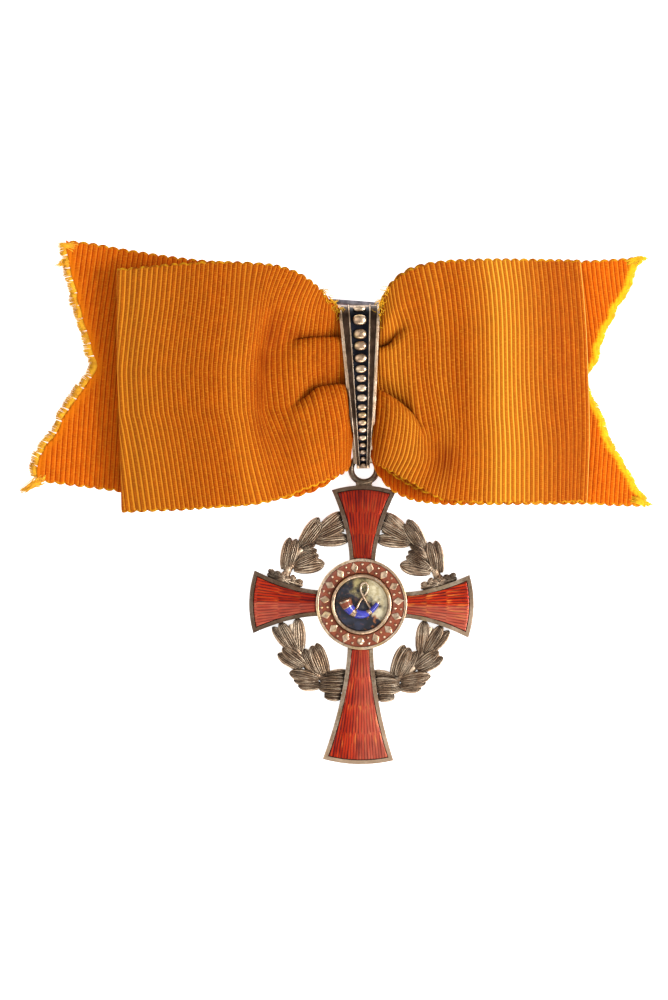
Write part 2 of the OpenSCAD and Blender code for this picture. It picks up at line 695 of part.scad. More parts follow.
// The cord hangs from the horn's two ends and is tied in a loop above it.
cord_r = 0.14;
cord_steps = 20;
cord_lift = 0.42;       // one end passes over the other where they cross
function cord_point(t) =
    let (a = 360 * t, u = 2 * t - 1)
    [
        0.55 * sin(a) + 0.75 * u * pow(abs(u), 3),
        2.35 - 0.76 * cos(a) - 0.35 * u * u,
        relief_z + cord_r + cord_lift * smooth(1 - abs(t - 0.09) / 0.11)
    ];
module horn_cord() {
    color("gold") on_cross() tube(
        [for (i = [0:cord_steps]) cord_point(mix(0.06, 0.94, i / cord_steps))],
        [for (i = [0:cord_steps]) cord_r]
    );
}

ribbon_bow();
ribbon_tails();
bail();
brooch_pin();
cross_frame();
enamel_top();
enamel_left();
enamel_right();
enamel_bottom();
medallion_enamel();
medallion_disc();
horn();
horn_cord();
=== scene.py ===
"""Honour badge on a ribbon bow: the finished look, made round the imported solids."""

import math

import bmesh
import bpy
import numpy as np
from bpy.props import FloatProperty, FloatVectorProperty, IntProperty, PointerProperty
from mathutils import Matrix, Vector


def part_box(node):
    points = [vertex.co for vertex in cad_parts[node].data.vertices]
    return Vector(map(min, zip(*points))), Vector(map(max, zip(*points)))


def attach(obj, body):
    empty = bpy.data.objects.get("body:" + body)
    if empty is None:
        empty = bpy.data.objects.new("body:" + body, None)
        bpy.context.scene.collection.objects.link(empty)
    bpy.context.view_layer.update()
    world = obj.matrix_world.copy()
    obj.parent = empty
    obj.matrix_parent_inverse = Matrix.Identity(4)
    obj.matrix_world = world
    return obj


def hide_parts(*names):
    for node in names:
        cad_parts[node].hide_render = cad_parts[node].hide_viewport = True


bl_info = {
    "name": "Honour badge on a ribbon bow",
    "version": (1, 0, 0),
    "blender": (4, 5, 0),
    "location": "3D View > Sidebar > Badge",
    "description": "Makes the ribbon bow, bail, enamelled cross and wreath of the badge",
    "category": "Object",
}

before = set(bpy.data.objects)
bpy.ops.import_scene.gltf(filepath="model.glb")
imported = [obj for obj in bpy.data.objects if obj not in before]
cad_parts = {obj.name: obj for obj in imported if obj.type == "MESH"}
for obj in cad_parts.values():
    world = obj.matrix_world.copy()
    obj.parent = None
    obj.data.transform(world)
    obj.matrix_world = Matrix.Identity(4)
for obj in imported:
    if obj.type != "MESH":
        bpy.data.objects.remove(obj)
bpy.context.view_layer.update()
MM = 0.001
GRID_STEP = 0.155  # millimetres of one step of the drawing grid of the ribbon tables
GRID_ZERO = (339.0, 502.0)  # the grid's point at the frame's zero, on the bow's lower edge
BAIL_X = 3.45  # the bail's middle line, in millimetres


def on_grid(x, y):
    """Millimetres of a point of the drawing grid, whose y counts downwards."""
    return (x - GRID_ZERO[0]) * GRID_STEP, (GRID_ZERO[1] - y) * GRID_STEP


# Ribbon: surfaces through tables of points


# Stations across a loop, as shares of the ribbon's width: low edge, puff, crest, nose, crease,
# tube, tube's shoulder, shoulder's nose, upper crease, upper puff, high edge
STATIONS = (0.0, 0.225, 0.35, 0.383, 0.417, 0.55, 0.64, 0.67, 0.70, 0.85, 1.0)

# One row for each key rib of a loop: its number from the bail, then x and y on the drawing grid and
# the height in millimetres, each at every station, or one number where it is the same at all of them
LEFT_LOOP = (
    (-6, 361.3, (421, 397, 384, 380, 377, 363, 353, 350, 346, 331, 316), 6.3),
    (-3, (354.5, 355, 354, 353.5, 353, 352, 351, 350.5, 350, 349, 348),
     (427, 404, 386, 382, 379, 362, 350, 346, 343, 329, 315),
     (6.0, 6.5, 6.6, 6.5, 6.3, 6.5, 6.5, 6.4, 6.3, 6.4, 6.4)),
    (-1.2, (350.5, 351.5, 350.5, 349, 348.5, 348.8, 347.5, 346.5, 346, 345, 344),
     (461, 428, 396, 383.5, 384.5, 362, 345, 339.5, 340, 326, 314),
     (5.7, 5.9, 6.8, 6.8, 6.4, 6.9, 7.0, 6.8, 6.3, 6.7, 6.6)),
    (0, (349, 350, 347, 345.2, 344.8, 344.8, 343.8, 342.3, 342, 341.6, 341),
     (467, 428, 397, 386, 388.5, 362, 345, 338.3, 340.5, 325, 312.5),
     (6.1, 6.9, 8.1, 7.7, 6.4, 7.4, 7.6, 7.2, 6.2, 7.1, 6.9)),
    (1.5, (346.2, 347, 342.8, 339.5, 339, 338.2, 337.8, 336.9, 336.6, 336.5, 336),
     (470, 430, 396, 385.4, 388.5, 362, 345, 338.3, 340.5, 321, 306.5),
     (6.7, 8.0, 8.8, 8.0, 6.4, 7.6, 7.8, 7.3, 6.2, 7.3, 7.2)),
    (3, (342.5, 342.5, 336.5, 333.2, 332.8, 331.2, 331, 330.4, 330, 331.5, 331.5),
     (472.5, 433, 397.5, 386.2, 389.5, 362.5, 345, 338.4, 340.8, 317, 303),
     (7.1, 8.6, 9.0, 8.1, 6.4, 7.7, 7.9, 7.4, 6.2, 7.6, 7.5)),
    (6, (333.5, 328.5, 322.8, 319.6, 319, 316.8, 317, 317, 317, 320.5, 324),
     (476.8, 437, 400, 388.3, 391, 363, 345.5, 338.8, 341, 311, 296),
     (7.7, 9.1, 9.3, 8.2, 6.5, 7.8, 7.9, 7.3, 6.2, 8.1, 8.0)),
    (9, (323.6, 315.5, 309, 306, 305, 302.8, 303, 303, 303.2, 309.5, 316.5),
     (480.8, 441, 409, 400, 398, 365, 347, 340, 340.5, 306, 288),
     (8.2, 9.3, 9.2, 8.5, 7.2, 7.8, 7.7, 7.0, 6.3, 8.6, 8.4)),
    (11.5, (313, 304, 297, 295, 293.5, 291, 290.5, 290.5, 291, 299.5, 308.4),
     (485.2, 445, 417, 409, 404, 367, 350, 343, 339, 303, 281.5),
     (8.6, 9.3, 9.0, 8.5, 7.9, 7.6, 7.2, 6.8, 6.6, 9.0, 8.8)),
    (14, (301.2, 292, 284.5, 282, 280, 277, 276.5, 277, 277.8, 286.5, 296.5),
     (489.4, 449, 424, 416, 408, 370, 353, 345.5, 339, 300, 274.5),
     (9.0, 9.3, 9.0, 8.7, 8.3, 7.4, 7.1, 7.0, 7.1, 9.3, 9.1)),
    (16.3, (290.2, 280.5, 272.5, 269.5, 267.3, 264.8, 265, 265.8, 267, 275, 285),
     (494.4, 453, 427, 418, 409, 371, 354, 346.5, 339, 298, 270.3),
     (9.3, 9.4, 9.1, 8.8, 8.4, 7.5, 7.3, 7.4, 7.5, 9.5, 9.3)),
    (18.5, (278.8, 270, 263.5, 261.5, 260, 259.5, 259.8, 260.5, 261, 266.5, 274.5),
     (497.6, 456, 429, 420, 410, 372, 354, 346.5, 339, 297, 267.7),
     (9.5, 9.6, 9.5, 9.4, 9.2, 8.7, 8.5, 8.5, 8.6, 9.6, 9.5)),
    (20.5, (269.5, 262, 257.5, 256.5, 255.8, 255.2, 255.6, 256, 256.4, 259.5, 264.5),
     (500.5, 458, 430, 421, 411, 373, 355, 347, 339, 296, 266.6),
     (9.6, 9.8, 9.8, 9.75, 9.65, 9.4, 9.3, 9.3, 9.3, 9.7, 9.6)),
    (23.4, (250.5, 247, 245.6, 245.3, 245, 244.5, 244.5, 244.4, 244.5, 245, 246.5),
     (503.5, 459, 430, 421, 411, 373, 355, 347, 339, 296, 265.4),
     (9.8, 9.95, 10, 10, 10, 10, 10, 10, 9.95, 9.85, 9.7)),
    (28.9, (223.5, 221.5, 220, 219.6, 219.3, 218.6, 218.6, 218.6, 218.7, 219.5, 220.5),
     (505.5, 459, 430, 421, 411, 373, 355, 347, 339, 296, 264.6),
     (9.6, 9.7, 9.75, 9.75, 9.75, 9.75, 9.75, 9.75, 9.75, 9.7, 9.6)),
    (37.7, (184, 182, 180.8, 180.3, 180, 178.5, 178.3, 178.3, 178.4, 179.5, 180.8),
     (508.5, 460, 430, 421, 411, 374, 356, 348, 340, 298, 266.2), 8.4),
    (45, (148.5, 147, 145.5, 145, 144.5, 143, 142.7, 142.6, 142.7, 143.5, 144.5),
     (509.8, 461, 431, 422, 412, 375, 357, 349, 341, 300, 268.8), 6.6),
    (48.5, (129.5, 128.5, 127.5, 127, 126.7, 125.5, 125, 125, 125, 125, 125),
     (510.6, 462, 432, 423, 413, 376, 358, 350, 342, 301, 270), 5.0),
)
RIGHT_LOOP = (
    (-4, 361.3, (421, 397, 384, 380, 377, 363, 353, 350, 346, 331, 316), 6.3),
    (-2, (371.5, 372, 372, 374, 364, 363.5, 363.5, 363.5, 363.5, 363.5, 363.5),
     (433, 421, 404, 389.5, 385, 364, 352, 348.5, 345, 331, 315),
     (5.9, 6.4, 7.0, 6.8, 6.3, 6.3, 6.3, 6.3, 6.3, 6.3, 6.3)),
    (0, (375, 377.6, 382, 381.8, 368, 367, 367, 367, 367, 367, 367),
     (462.8, 443, 402, 392.2, 390, 364, 352, 348, 345, 330, 314.5),
     (6.4, 7.4, 8.0, 7.4, 6.3, 6.5, 6.5, 6.4, 6.2, 6.4, 6.4)),
    (2, (380.8, 385.5, 390.5, 389.4, 374, 373, 373, 373, 373, 373.5, 374),
     (465.3, 446, 408, 397, 391, 364.5, 352.5, 348.7, 346.5, 329, 313.5),
     (7.0, 8.4, 8.8, 8.0, 6.3, 6.9, 6.9, 6.7, 6.2, 6.7, 6.7)),
    (4.6, (388.5, 396, 400.6, 398.8, 383, 380.5, 380, 380, 380.2, 381, 381.5),
     (468.8, 448, 414.5, 403.2, 394.5, 365.5, 354, 349.2, 347.5, 328, 311.5),
     (7.6, 8.9, 9.2, 8.3, 6.3, 7.5, 7.6, 7.2, 6.2, 7.2, 7.1)),
    (7, (396.2, 405.6, 408.8, 406.6, 396.5, 389.8, 389, 388.7, 388.7, 387, 384.5),
     (473.2, 450, 421, 409.8, 403.5, 366.5, 352.5, 347, 345, 318, 298),
     (8.1, 9.2, 9.4, 8.5, 6.4, 7.9, 7.9, 7.4, 6.3, 7.9, 7.7)),
    (9, (403, 413.4, 415.5, 412.6, 405.2, 398, 396.7, 396.4, 396.2, 391.5, 388),
     (477.2, 452, 427, 416, 410, 368, 348, 339.5, 336.5, 312, 291),
     (8.5, 9.4, 9.4, 8.7, 6.9, 8.1, 8.1, 7.6, 6.8, 8.4, 8.2)),
    (10.5, (409, 418.7, 419.3, 416.6, 411.3, 404.7, 403.2, 402.6, 402, 395.5, 392.3),
     (480.4, 453, 432, 422, 415, 370, 342, 334, 330.5, 307, 285.6),
     (8.8, 9.5, 9.4, 8.9, 7.6, 8.3, 8.3, 8.0, 7.5, 8.7, 8.5)),
    (12, (415, 423.9, 423.3, 420.8, 417.6, 411.5, 409.7, 408.8, 408, 401, 397.4),
     (483.8, 455, 438, 430, 423.5, 371, 339, 331, 327, 304, 280.6),
     (9.0, 9.5, 9.3, 9.1, 8.4, 8.5, 8.5, 8.3, 8.2, 8.9, 8.7)),
    (14, (422.7, 430.9, 430.4, 429, 427.3, 420.3, 418.6, 417.9, 417, 410.5, 405),
     (488.4, 456, 438, 430, 420, 371, 338, 330, 326, 300, 275),
     (9.2, 9.5, 9.2, 9.0, 8.7, 8.7, 8.7, 8.6, 8.6, 9.1, 9.0)),
    (17, (434, 441.5, 441.3, 441, 439.6, 432.4, 431, 430, 429.3, 424.5, 418.2),
     (495, 456, 438, 430, 419, 371, 338, 330, 326, 298, 269),
     (9.5, 9.6, 9.3, 9.2, 9.0, 9.0, 9.0, 9.0, 9.0, 9.4, 9.3)),
    (20, (444.5, 450.5, 451.5, 451.5, 450.8, 446.2, 444.8, 444.3, 444, 440.5, 434.4),
     (499, 456, 438, 430, 419, 371, 338, 330, 326, 296, 265),
     (9.6, 9.7, 9.5, 9.45, 9.4, 9.3, 9.3, 9.35, 9.35, 9.6, 9.5)),
    (25, (468.2, 470.5, 470.3, 470, 469.4, 468.5, 467.9, 467.7, 467.5, 464.5, 459.5),
     (501.2, 456, 436, 428, 417, 371, 338, 330, 326, 296, 262.8),
     (9.7, 9.75, 9.7, 9.7, 9.7, 9.7, 9.7, 9.7, 9.7, 9.75, 9.7)),
    (31, (496, 496.4, 495.9, 495.6, 494.9, 494.5, 493.9, 493.8, 493.7, 491.8, 487),
     (501.8, 456, 436, 428, 417, 371, 338, 330, 326, 296, 262.2),
     (9.85, 9.9, 9.9, 9.9, 9.9, 9.9, 9.9, 9.9, 9.9, 9.85, 9.8)),
    (38, (528.8, 528.8, 527.9, 527.3, 526.4, 524, 523.8, 523.7, 523.5, 522.2, 518.5),
     (501.8, 456, 436, 428, 417, 371, 338, 330, 326, 296, 262), 8.9),
    (44.5, (558, 558.6, 558, 557.4, 556.3, 553.8, 553.2, 552.9, 552.7, 551, 547.5),
     (501.4, 456, 436, 428, 417, 371, 338, 330, 326, 296, 261.8), 7.2),
    (50, (579.5, 581.2, 581.7, 581.7, 581.6, 580.2, 579, 578.6, 578.3, 576, 572.6),
     (500.6, 456, 436, 428, 417, 371, 338, 330, 326, 296, 261.4), 5.0),
)

# Rows of a loop's back layer, from its outer fold in to the bail, in the same way: low edge, high edge
LEFT_BACK = (
    (57.5, 146, (508.5, 270), 2.75),
    (64.5, 181, (507.5, 268.5), 3.45),
    (73.5, 226, (505.5, 266.5), 4.15),
    (79.3, 255, (502, 268), 4.5),
    (84.0, 278, (497, 271), 4.7),
    (88.3, (300, 299), (488.5, 279.5), 4.85),
    (92.2, (319, 317), (480, 293), 4.9),
    (95.8, (336.5, 334), (470, 311), 4.95),
    (98.5, 350, (438, 322), 5.0),
    (100.8, 361.3, (414, 326), 5.0),
)
RIGHT_BACK = (
    (59.0, (563, 561), (499.5, 262), 2.75),
    (66.0, (531, 529), (500.5, 262), 3.45),
    (74.2, (493, 491), (501, 262.8), 4.15),
    (80.3, (464.5, 462), (499, 262.5), 4.5),
    (85.8, (439, 436), (495, 263.3), 4.7),
    (90.6, (416, 411), (487.5, 269), 4.85),
    (94.6, (398.5, 391), (477.5, 283.5), 4.9),
    (97.0, (387.5, 383), (470, 297), 4.95),
    (99.0, (374, 373), (440, 318), 5.0),
    (101.2, 361.3, (414, 326), 5.0),
)
# Rows of the tails, from the bail out, in the same way: low edge, middle, high edge
LEFT_TAIL = (
    (0.0, 361.3, (414, 372, 330), 3.6),
    (2.3, 350.5, (440, 380, 322), 3.6),
    (5.5, (334, 334, 336), (478, 390, 313), 3.6),
    (13.0, (287, 292, 301), (497, 386, 279), 3.5),
    (25.0, (220, 228, 241), (503, 384, 265), 2.7),
    (36.0, (163, 171.5, 187), (496, 378, 259), 1.75),
    (49.3, (96, 104.5, 121), (487.2, 369, 248.8), 0.85),
    (56.0, (63, 71.5, 87), (483, 364, 242.6), 0.5),
    (62.5, (30.5, 39, 54.5), (479, 360, 239.2), 0.35),
)
RIGHT_TAIL = (
    (0.0, 361.3, (414, 372, 330), 3.6),
    (2.3, 373, (463, 380, 318), 3.6),
    (4.5, (383.5, 384, 384), (481, 384, 303), 3.6),
    (8.0, (397.5, 401, 398), (492.5, 385, 282), 3.6),
    (13.5, (420.5, 427, 420), (500.5, 385, 270), 3.45),
    (22.0, (458, 467, 460), (503.3, 384, 264), 3.2),
    (36.0, (523, 532, 523), (503, 383, 263), 2.1),
    (49.5, (586, 593, 581), (502.6, 383, 261.2), 1.1),
    (56.5, (618, 624.5, 613), (504.2, 382, 259.4), 0.6),
    (63.5, (650.5, 657, 645.5), (505, 381, 256.8), 0.35),
)
# The swallow-tail cuts: y on the drawing grid, and the x of the cut there
LEFT_CUT = (
    (232, 66), (243, 64), (259, 66.5), (268, 68.5), (286, 73.5), (300.5, 77), (311, 80), (325.7, 84),
    (340, 89), (351, 91.5), (358, 94), (367, 95.5), (373, 92.5), (389, 81.5), (403, 71), (417.6, 62),
    (434, 53), (448, 43), (457, 36.5), (466, 34.5), (488, 36),
)
RIGHT_CUT = (
    (248, 641), (258, 641), (266, 636), (278, 632), (296, 622.5), (316, 612), (330, 604), (345, 598.5),
    (359, 597), (366, 592), (380, 582), (392.5, 588), (402.5, 594.5), (416, 600.5), (435, 608),
    (449.4, 615), (467.5, 626), (483.7, 635), (500, 645), (508, 647),
)
# Long threads at the tips of the cuts: side, root x, y, tip x, y, sag, how many
WISPS = (
    (-1, 72, 245, 60.5, 243.5, 0.1, 60), (-1, 64, 261, 57.5, 263, 0.1, 30),
    (-1, 39, 478, 21, 491, -0.05, 46), (-1, 37, 481, 27, 488, 0.0, 50), (1, 633, 261, 646, 257, 0.3, 60),
    (1, 636, 499, 651, 504.5, -0.1, 60),
)
TURN_R, TURN_STEPS = 1.2, 5  # radius of an outer fold, and the steps of its half turn
ROWS_A_RIB, BACK_ROWS_A_RIB = 6, 3  # rows of the mesh for each rib, in front and at the back
# How many ribs the left loop's ribs bow outwards at each station, and the rows between which it sets in
LEFT_BOWING = (2.9, 1.8, 0.96, 0.67, 0.31, 0.1, 0.42, 0.6, 0.79, 1.69, 2.0)
BOWING_FROM, BOWING_TO = 9.0, 25.0
SELVEDGE_IN = 0.9  # how far in from the edge the selvedge's loops begin, in millimetres
SELVEDGE_YELLOW = 0.34  # how far in its colour reaches
# Painted sheen: how brightly the silk is painted to shine at a rib, from the bail out, where a fold
# turns to the light; on the right loop, values over 1.4 paint a highlight line along the outer fold
LEFT_PAINTED_SHEEN = (
    (0, 0), (6, 0), (10, 0.12), (14, 0), (21, 0.08), (25, 0.38), (30, 0.0), (39, 0.15), (44, 0.42),
    (48, 0.66), (51, 0.75), (53, 0.2), (101, 0),
)
RIGHT_PAINTED_SHEEN = (
    (0, 0), (4, 0.28), (8, 0.52), (12, 0.25), (15, 0.04), (18.5, 0.26), (22, 0.05), (24, 0.06), (27, 0.3),
    (29.2, 0.42), (30.6, 0.82), (33, 0.98), (37, 0.7), (41, 0.34), (45, 0.12), (51.3, 0.06), (51.7, 2.3),
    (52.1, 2.3), (52.6, 0), (101, 0),
)
# Painted shade in the hollows of the folds: side, rib, reach in ribs, share of the width, reach in shares,
# depth
FOLD_SHADE_SPOTS = (
    (-1, 15.8, 2.8, 0.71, 0.08, 0.8), (-1, 17.4, 3.0, 0.6, 0.09, 0.85), (-1, 19.0, 2.8, 0.48, 0.1, 0.75),
    (-1, 20.0, 2.4, 0.36, 0.1, 0.55), (-1, 9.0, 5.0, 0.72, 0.035, 0.8), (-1, 15.0, 4.0, 0.26, 0.1, 0.3),
    (-1, 24.5, 4.0, 0.86, 0.2, 0.4), (-1, 3.5, 2.2, 0.55, 0.2, 0.35), (1, 18.4, 3.8, 0.2, 0.13, 1.0),
    (1, 23.5, 3.0, 0.5, 0.2, 0.32), (1, 46.0, 8.0, 0.5, 2.0, 0.52), (1, 92.0, 10.0, 0.0, 0.2, 0.9),
)
LOOP_THREAD, TAIL_THREAD = 0.07, 0.085  # radius of a loose thread, in millimetres
LOOSE_THREADS = 60
# Frayed edges beside the bail: grid places and heights
LOOSE_EDGES = (
    ((321, 289.5, 7.9), (330, 299, 7.6), (337, 309, 7.3), (342, 322, 7.0)),
    ((389, 287, 8.3), (384.5, 296, 7.8), (382, 306, 7.5), (380.5, 323, 7.2)),
)


def smooth_table(places, values, at):
    """Values at the places asked for, on a curve that never overshoots those of the table."""
    places, values = np.asarray(places, float), np.asarray(values, float)
    step = np.diff(places).reshape((-1,) + (1,) * (values.ndim - 1))
    slope = np.diff(values, axis=0) / step
    near, far = slope[:-1], slope[1:]
    w_near, w_far = 2 * step[1:] + step[:-1], step[1:] + 2 * step[:-1]
    one_way = near * far > 0
    with np.errstate(divide="ignore", invalid="ignore"):
        middle = np.where(one_way, (w_near + w_far) / (w_near / near + w_far / far), 0)
    tangent = np.concatenate([slope[:1], np.nan_to_num(middle), slope[-1:]])
    i = np.clip(np.searchsorted(places, at, "right") - 1, 0, len(places) - 2)
    h = step[i]
    t = (at - places[i]).reshape(h.shape) / h
    a, b = values[i], values[i + 1]
    return (
        a * (1 + 2 * t) * (1 - t) ** 2
        + h * tangent[i] * t * (1 - t) ** 2
        + b * t * t * (3 - 2 * t)
        + h * tangent[i + 1] * t * t * (t - 1)
    )


def grid_rows(rows, stations, shares):
    """Rib numbers and points in millimetres of a table's rows, at the shares of the width asked for."""
    ribs = np.array([row[0] for row in rows], float)
    x, y, z = (np.array([np.full(len(stations), row[k]) for row in rows], float) for k in (1, 2, 3))
    points = np.stack([*on_grid(x, y), z], axis=-1)
    across = smooth_table(stations, points.transpose(1, 0, 2).reshape(len(stations), -1), shares)
    return ribs, across.reshape(len(shares), len(rows), 3).transpose(1, 0, 2)


def loop_rows(front, back, side, shares, pitch):
    """A loop's rows: its front, the half turn at its outer fold, and its back layer."""
    ribs, points = grid_rows(front, STATIONS, shares)
    turn_ribs, turn_points = [], []
    for k in range(1, TURN_STEPS + 1):
        angle = math.pi * k / TURN_STEPS
        turn_ribs.append(ribs[-1] + TURN_R * angle / pitch)
        turn_points.append(points[-1] + TURN_R * np.array([side * math.sin(angle), 0, math.cos(angle) - 1]))
    back_ribs, back_points = grid_rows(back, (0.0, 1.0), shares)
    ribs = np.concatenate([ribs, turn_ribs, back_ribs])
    return ribs, np.concatenate([points, turn_points, back_points])


def rib_relief(ribs):
    """Height of the rounded ribs, 0 in the grooves between them and 1 along their tops."""
    place = 2 * (ribs - np.floor(ribs)) - 1
    return np.sqrt(np.maximum(0, 1 - place**2)) ** 0.8


def bowed_ribs(rows, shares, side):
    """Rib number at each point of a loop: on the left one the ribs bow away from the rows."""
    numbers = np.repeat(rows[:, None], len(shares), axis=1)
    if side < 0:
        t = np.clip((rows - BOWING_FROM) / (BOWING_TO - BOWING_FROM), 0, 1)
        bowing = smooth_table(STATIONS, LEFT_BOWING, shares)
        numbers = numbers + (t * t * (3 - 2 * t))[:, None] * bowing[None, :]
    return numbers


def painted_fold_shade(ribs, shares, side):
    """How much painted shade the silk gets at each point of a loop, in the hollows of its folds."""
    dull = np.zeros_like(ribs)
    for which, rib, reach, share, wide, depth in FOLD_SHADE_SPOTS:
        if which == side:
            spot = depth * np.exp(-(((ribs - rib) / reach) ** 2) - (((shares[None, :] - share) / wide) ** 2))
            dull = np.maximum(dull, spot)
    return dull


def ribbon_skins(ribs, points, shares, side, sizes):
    """The two faces of the ribbon round its middle surface, with ribs and scalloped selvedges."""
    along, over = np.gradient(points, axis=0), np.gradient(points, axis=1)
    normal = side * np.cross(along, over)
    normal /= np.maximum(np.linalg.norm(normal, axis=-1, keepdims=True), 1e-9)
    inset = np.minimum(shares, 1 - shares) * sizes.width / MM
    edge = (np.clip(1 - inset / SELVEDGE_IN, 0, 1) ** 1.5)[None, :]
    outward = np.where((shares < 0.5)[None, :, None], -over, over)
    outward /= np.maximum(np.linalg.norm(outward, axis=-1, keepdims=True), 1e-9)
    scallop = np.abs(np.sin(math.pi * ribs / 2)) ** 0.75  # one loop of the selvedge for every two ribs
    points = points + outward * (sizes.scallop / MM * scallop * edge)[..., None]
    relief = rib_relief(ribs) * (1 - 0.6 * edge) + 1.6 * (scallop - 0.4) * edge**2
    relief = sizes.relief / MM * relief
    thin = np.where(inset < 0.02, 0.25, np.where(inset < 0.2, 0.8, 1.0))
    half = (sizes.thickness / MM / 2 + relief) * thin[None, :]
    return points + normal * half[..., None], points - normal * half[..., None]


def cut_rows(points, cut, side):
    """Row number, with its fraction, at which each line along the ribbon meets the cut."""
    cut = np.array([(*on_grid(x, y), 0) for y, x in cut])
    order = np.argsort(cut[:, 1])
    past = side * (points[..., 0] - np.interp(points[..., 1], cut[order, 1], cut[order, 0]))
    rows = []
    for line in past.T:
        over = np.nonzero(line > 0)[0]
        i = max(1, over[0]) if len(over) else len(line) - 1
        rows.append(i - 1 + float(np.clip(-line[i - 1] / (line[i] - line[i - 1] + 1e-12), 0, 1)))
    return np.array(rows)


def held_rows(values, last):
    """A grid's values with every line along it held at its last row."""
    at = np.minimum(np.arange(len(values))[:, None], last[None, :])
    i = np.clip(np.floor(at).astype(int), 0, len(values) - 2)
    t = (at - i).reshape(at.shape + (1,) * (values.ndim - 2))
    line = np.arange(values.shape[1])[None, :]
    return values[i, line] * (1 - t) + values[i + 1, line] * t


def ribbon_object(name, skins, ribs, shares, sizes, marks):
    """The ribbon's two faces with its four edges closed, a map of its ribs and threads, and its marks."""
    rows, lines = skins[0].shape[:2]
    points = np.concatenate([skins[0].reshape(-1, 3), skins[1].reshape(-1, 3)]) * MM
    i, j = np.meshgrid(np.arange(rows - 1), np.arange(lines - 1), indexing="ij")
    a = (i * lines + j).ravel()
    quads = np.stack([a, a + lines, a + lines + 1, a + 1], axis=1)
    under = quads[:, ::-1] + rows * lines
    walls = []
    for ring in (
        np.arange(rows) * lines,
        np.arange(rows)[::-1] * lines + lines - 1,
        np.arange(lines)[::-1],
        (rows - 1) * lines + np.arange(lines),
    ):
        near, far = ring[1:], ring[:-1]
        walls.append(np.stack([near, far, far + rows * lines, near + rows * lines], axis=1))
    faces = np.concatenate([quads, under] + walls)
    mesh = bpy.data.meshes.new(name)
    mesh.from_pydata(points.tolist(), [], faces.tolist())
    across = np.broadcast_to(shares[None, :] * sizes.width / MM, (rows, lines))
    chart = np.stack([ribs, across], axis=-1).reshape(-1, 2)
    chart = np.concatenate([chart, chart])
    corner = np.zeros(len(mesh.loops), dtype=np.int32)
    mesh.loops.foreach_get("vertex_index", corner)
    mesh.uv_layers.new(name="ribs").uv.foreach_set("vector", chart[corner].ravel().astype(np.float32))
    inset = np.minimum(across, sizes.width / MM - across)
    marks = {**marks, "selvedge": np.exp(-((inset / SELVEDGE_YELLOW) ** 2))}
    for key, grid in marks.items():
        grid = np.broadcast_to(grid, (rows, lines)).ravel()
        mesh.attributes.new(key, "FLOAT", "POINT").data.foreach_set(
            "value", np.concatenate([grid, grid]).astype(np.float32)
        )
    mesh.validate()
    return smooth_object(name, mesh, 1e-7)


def strands_object(name, strands, radius):
    """Short bare threads: each strand is a list of points, drawn out to a thin end."""
    verts, faces = [], []
    sides, thinner = 3, 0.55
    for strand in strands:
        strand = np.asarray(strand, float)
        along = np.gradient(strand, axis=0)
        along /= np.linalg.norm(along, axis=1, keepdims=True)
        out = np.cross(along, (0.13, 0.21, 1.0))  # a way that no strand runs
        out /= np.linalg.norm(out, axis=1, keepdims=True)
        up = np.cross(along, out)
        first = len(verts)
        for k, point in enumerate(strand):
            r = radius * (1 - thinner * k / (len(strand) - 1))
            for side in range(sides):
                a = 2 * math.pi * side / sides
                verts.append((point + r * (math.cos(a) * out[k] + math.sin(a) * up[k])) * MM)
        for k in range(len(strand) - 1):
            for side in range(sides):
                a, b = first + sides * k + side, first + sides * k + (side + 1) % sides
                faces.append((a, b, b + sides, a + sides))
        faces += [(first + 2, first + 1, first), tuple(len(verts) - sides + s for s in range(sides))]
    mesh = bpy.data.meshes.new(name)
    mesh.from_pydata([tuple(v) for v in verts], [], faces)
    return smooth_object(name, mesh)


def smooth_object(name, mesh, merge=0.0):
    """A smooth object of a mesh, with its faces turned outwards."""
    obj = bpy.data.objects.new(name, mesh)
    bpy.context.collection.objects.link(obj)
    open_up(obj)
    if merge:
        bpy.ops.mesh.remove_doubles(threshold=merge)
    bpy.ops.mesh.normals_make_consistent(inside=False)
    shut()
    bpy.ops.object.shade_smooth()
    return obj


# Bench work: selecting, placing and finishing


def only(*objs):
    """Leaves only these objects selected, with the first one active."""
    if bpy.context.object and bpy.context.object.mode != "OBJECT":
        bpy.ops.object.mode_set(mode="OBJECT")
    bpy.ops.object.select_all(action="DESELECT")
    for obj in objs:
        obj.select_set(True)
    if objs:
        bpy.context.view_layer.objects.active = objs[0]


def everything():
    bpy.ops.mesh.select_all(action="SELECT")


def open_up(obj):
    """Opens a piece for editing, with all of it selected."""
    only(obj)
    bpy.ops.object.mode_set(mode="EDIT")
    everything()


def shut():
    """Ends the editing of a piece."""
    bpy.ops.object.mode_set(mode="OBJECT")
    return bpy.context.object


def discard(*objs):
    only(*objs)
    bpy.ops.object.delete()


def begin(add, name, **sizes):
    """Adds a primitive, sized in millimetres, and opens it for editing."""
    only()
    add(**sizes)
    obj = bpy.context.object
    obj.name = obj.data.name = name
    bpy.ops.object.transform_apply(location=True, rotation=True, scale=True)
    bpy.ops.object.mode_set(mode="EDIT")
    bpy.ops.mesh.select_mode(type="VERT")
    everything()
    return obj


def pick(kind, test):
    """Selects just the vertices, edges or faces that pass the test."""
    bpy.ops.mesh.select_mode(type={"verts": "VERT", "edges": "EDGE", "faces": "FACE"}[kind])
    mesh = bpy.context.object.data
    shape = bmesh.from_edit_mesh(mesh)
    for things in (shape.faces, shape.edges, shape.verts):
        for thing in things:
            thing.select_set(False)
    for thing in [t for t in getattr(shape, kind) if test(t)]:
        thing.select_set(True)
    shape.select_flush_mode()
    bmesh.update_edit_mesh(mesh)


def pick_numbers(numbers):
    """Selects just the vertices of these numbers, and gives the place of the first one."""
    pick("verts", lambda v: v.index in numbers)
    shape = bmesh.from_edit_mesh(bpy.context.object.data)
    shape.verts.ensure_lookup_table()
    return shape.verts[min(numbers)].co.copy()


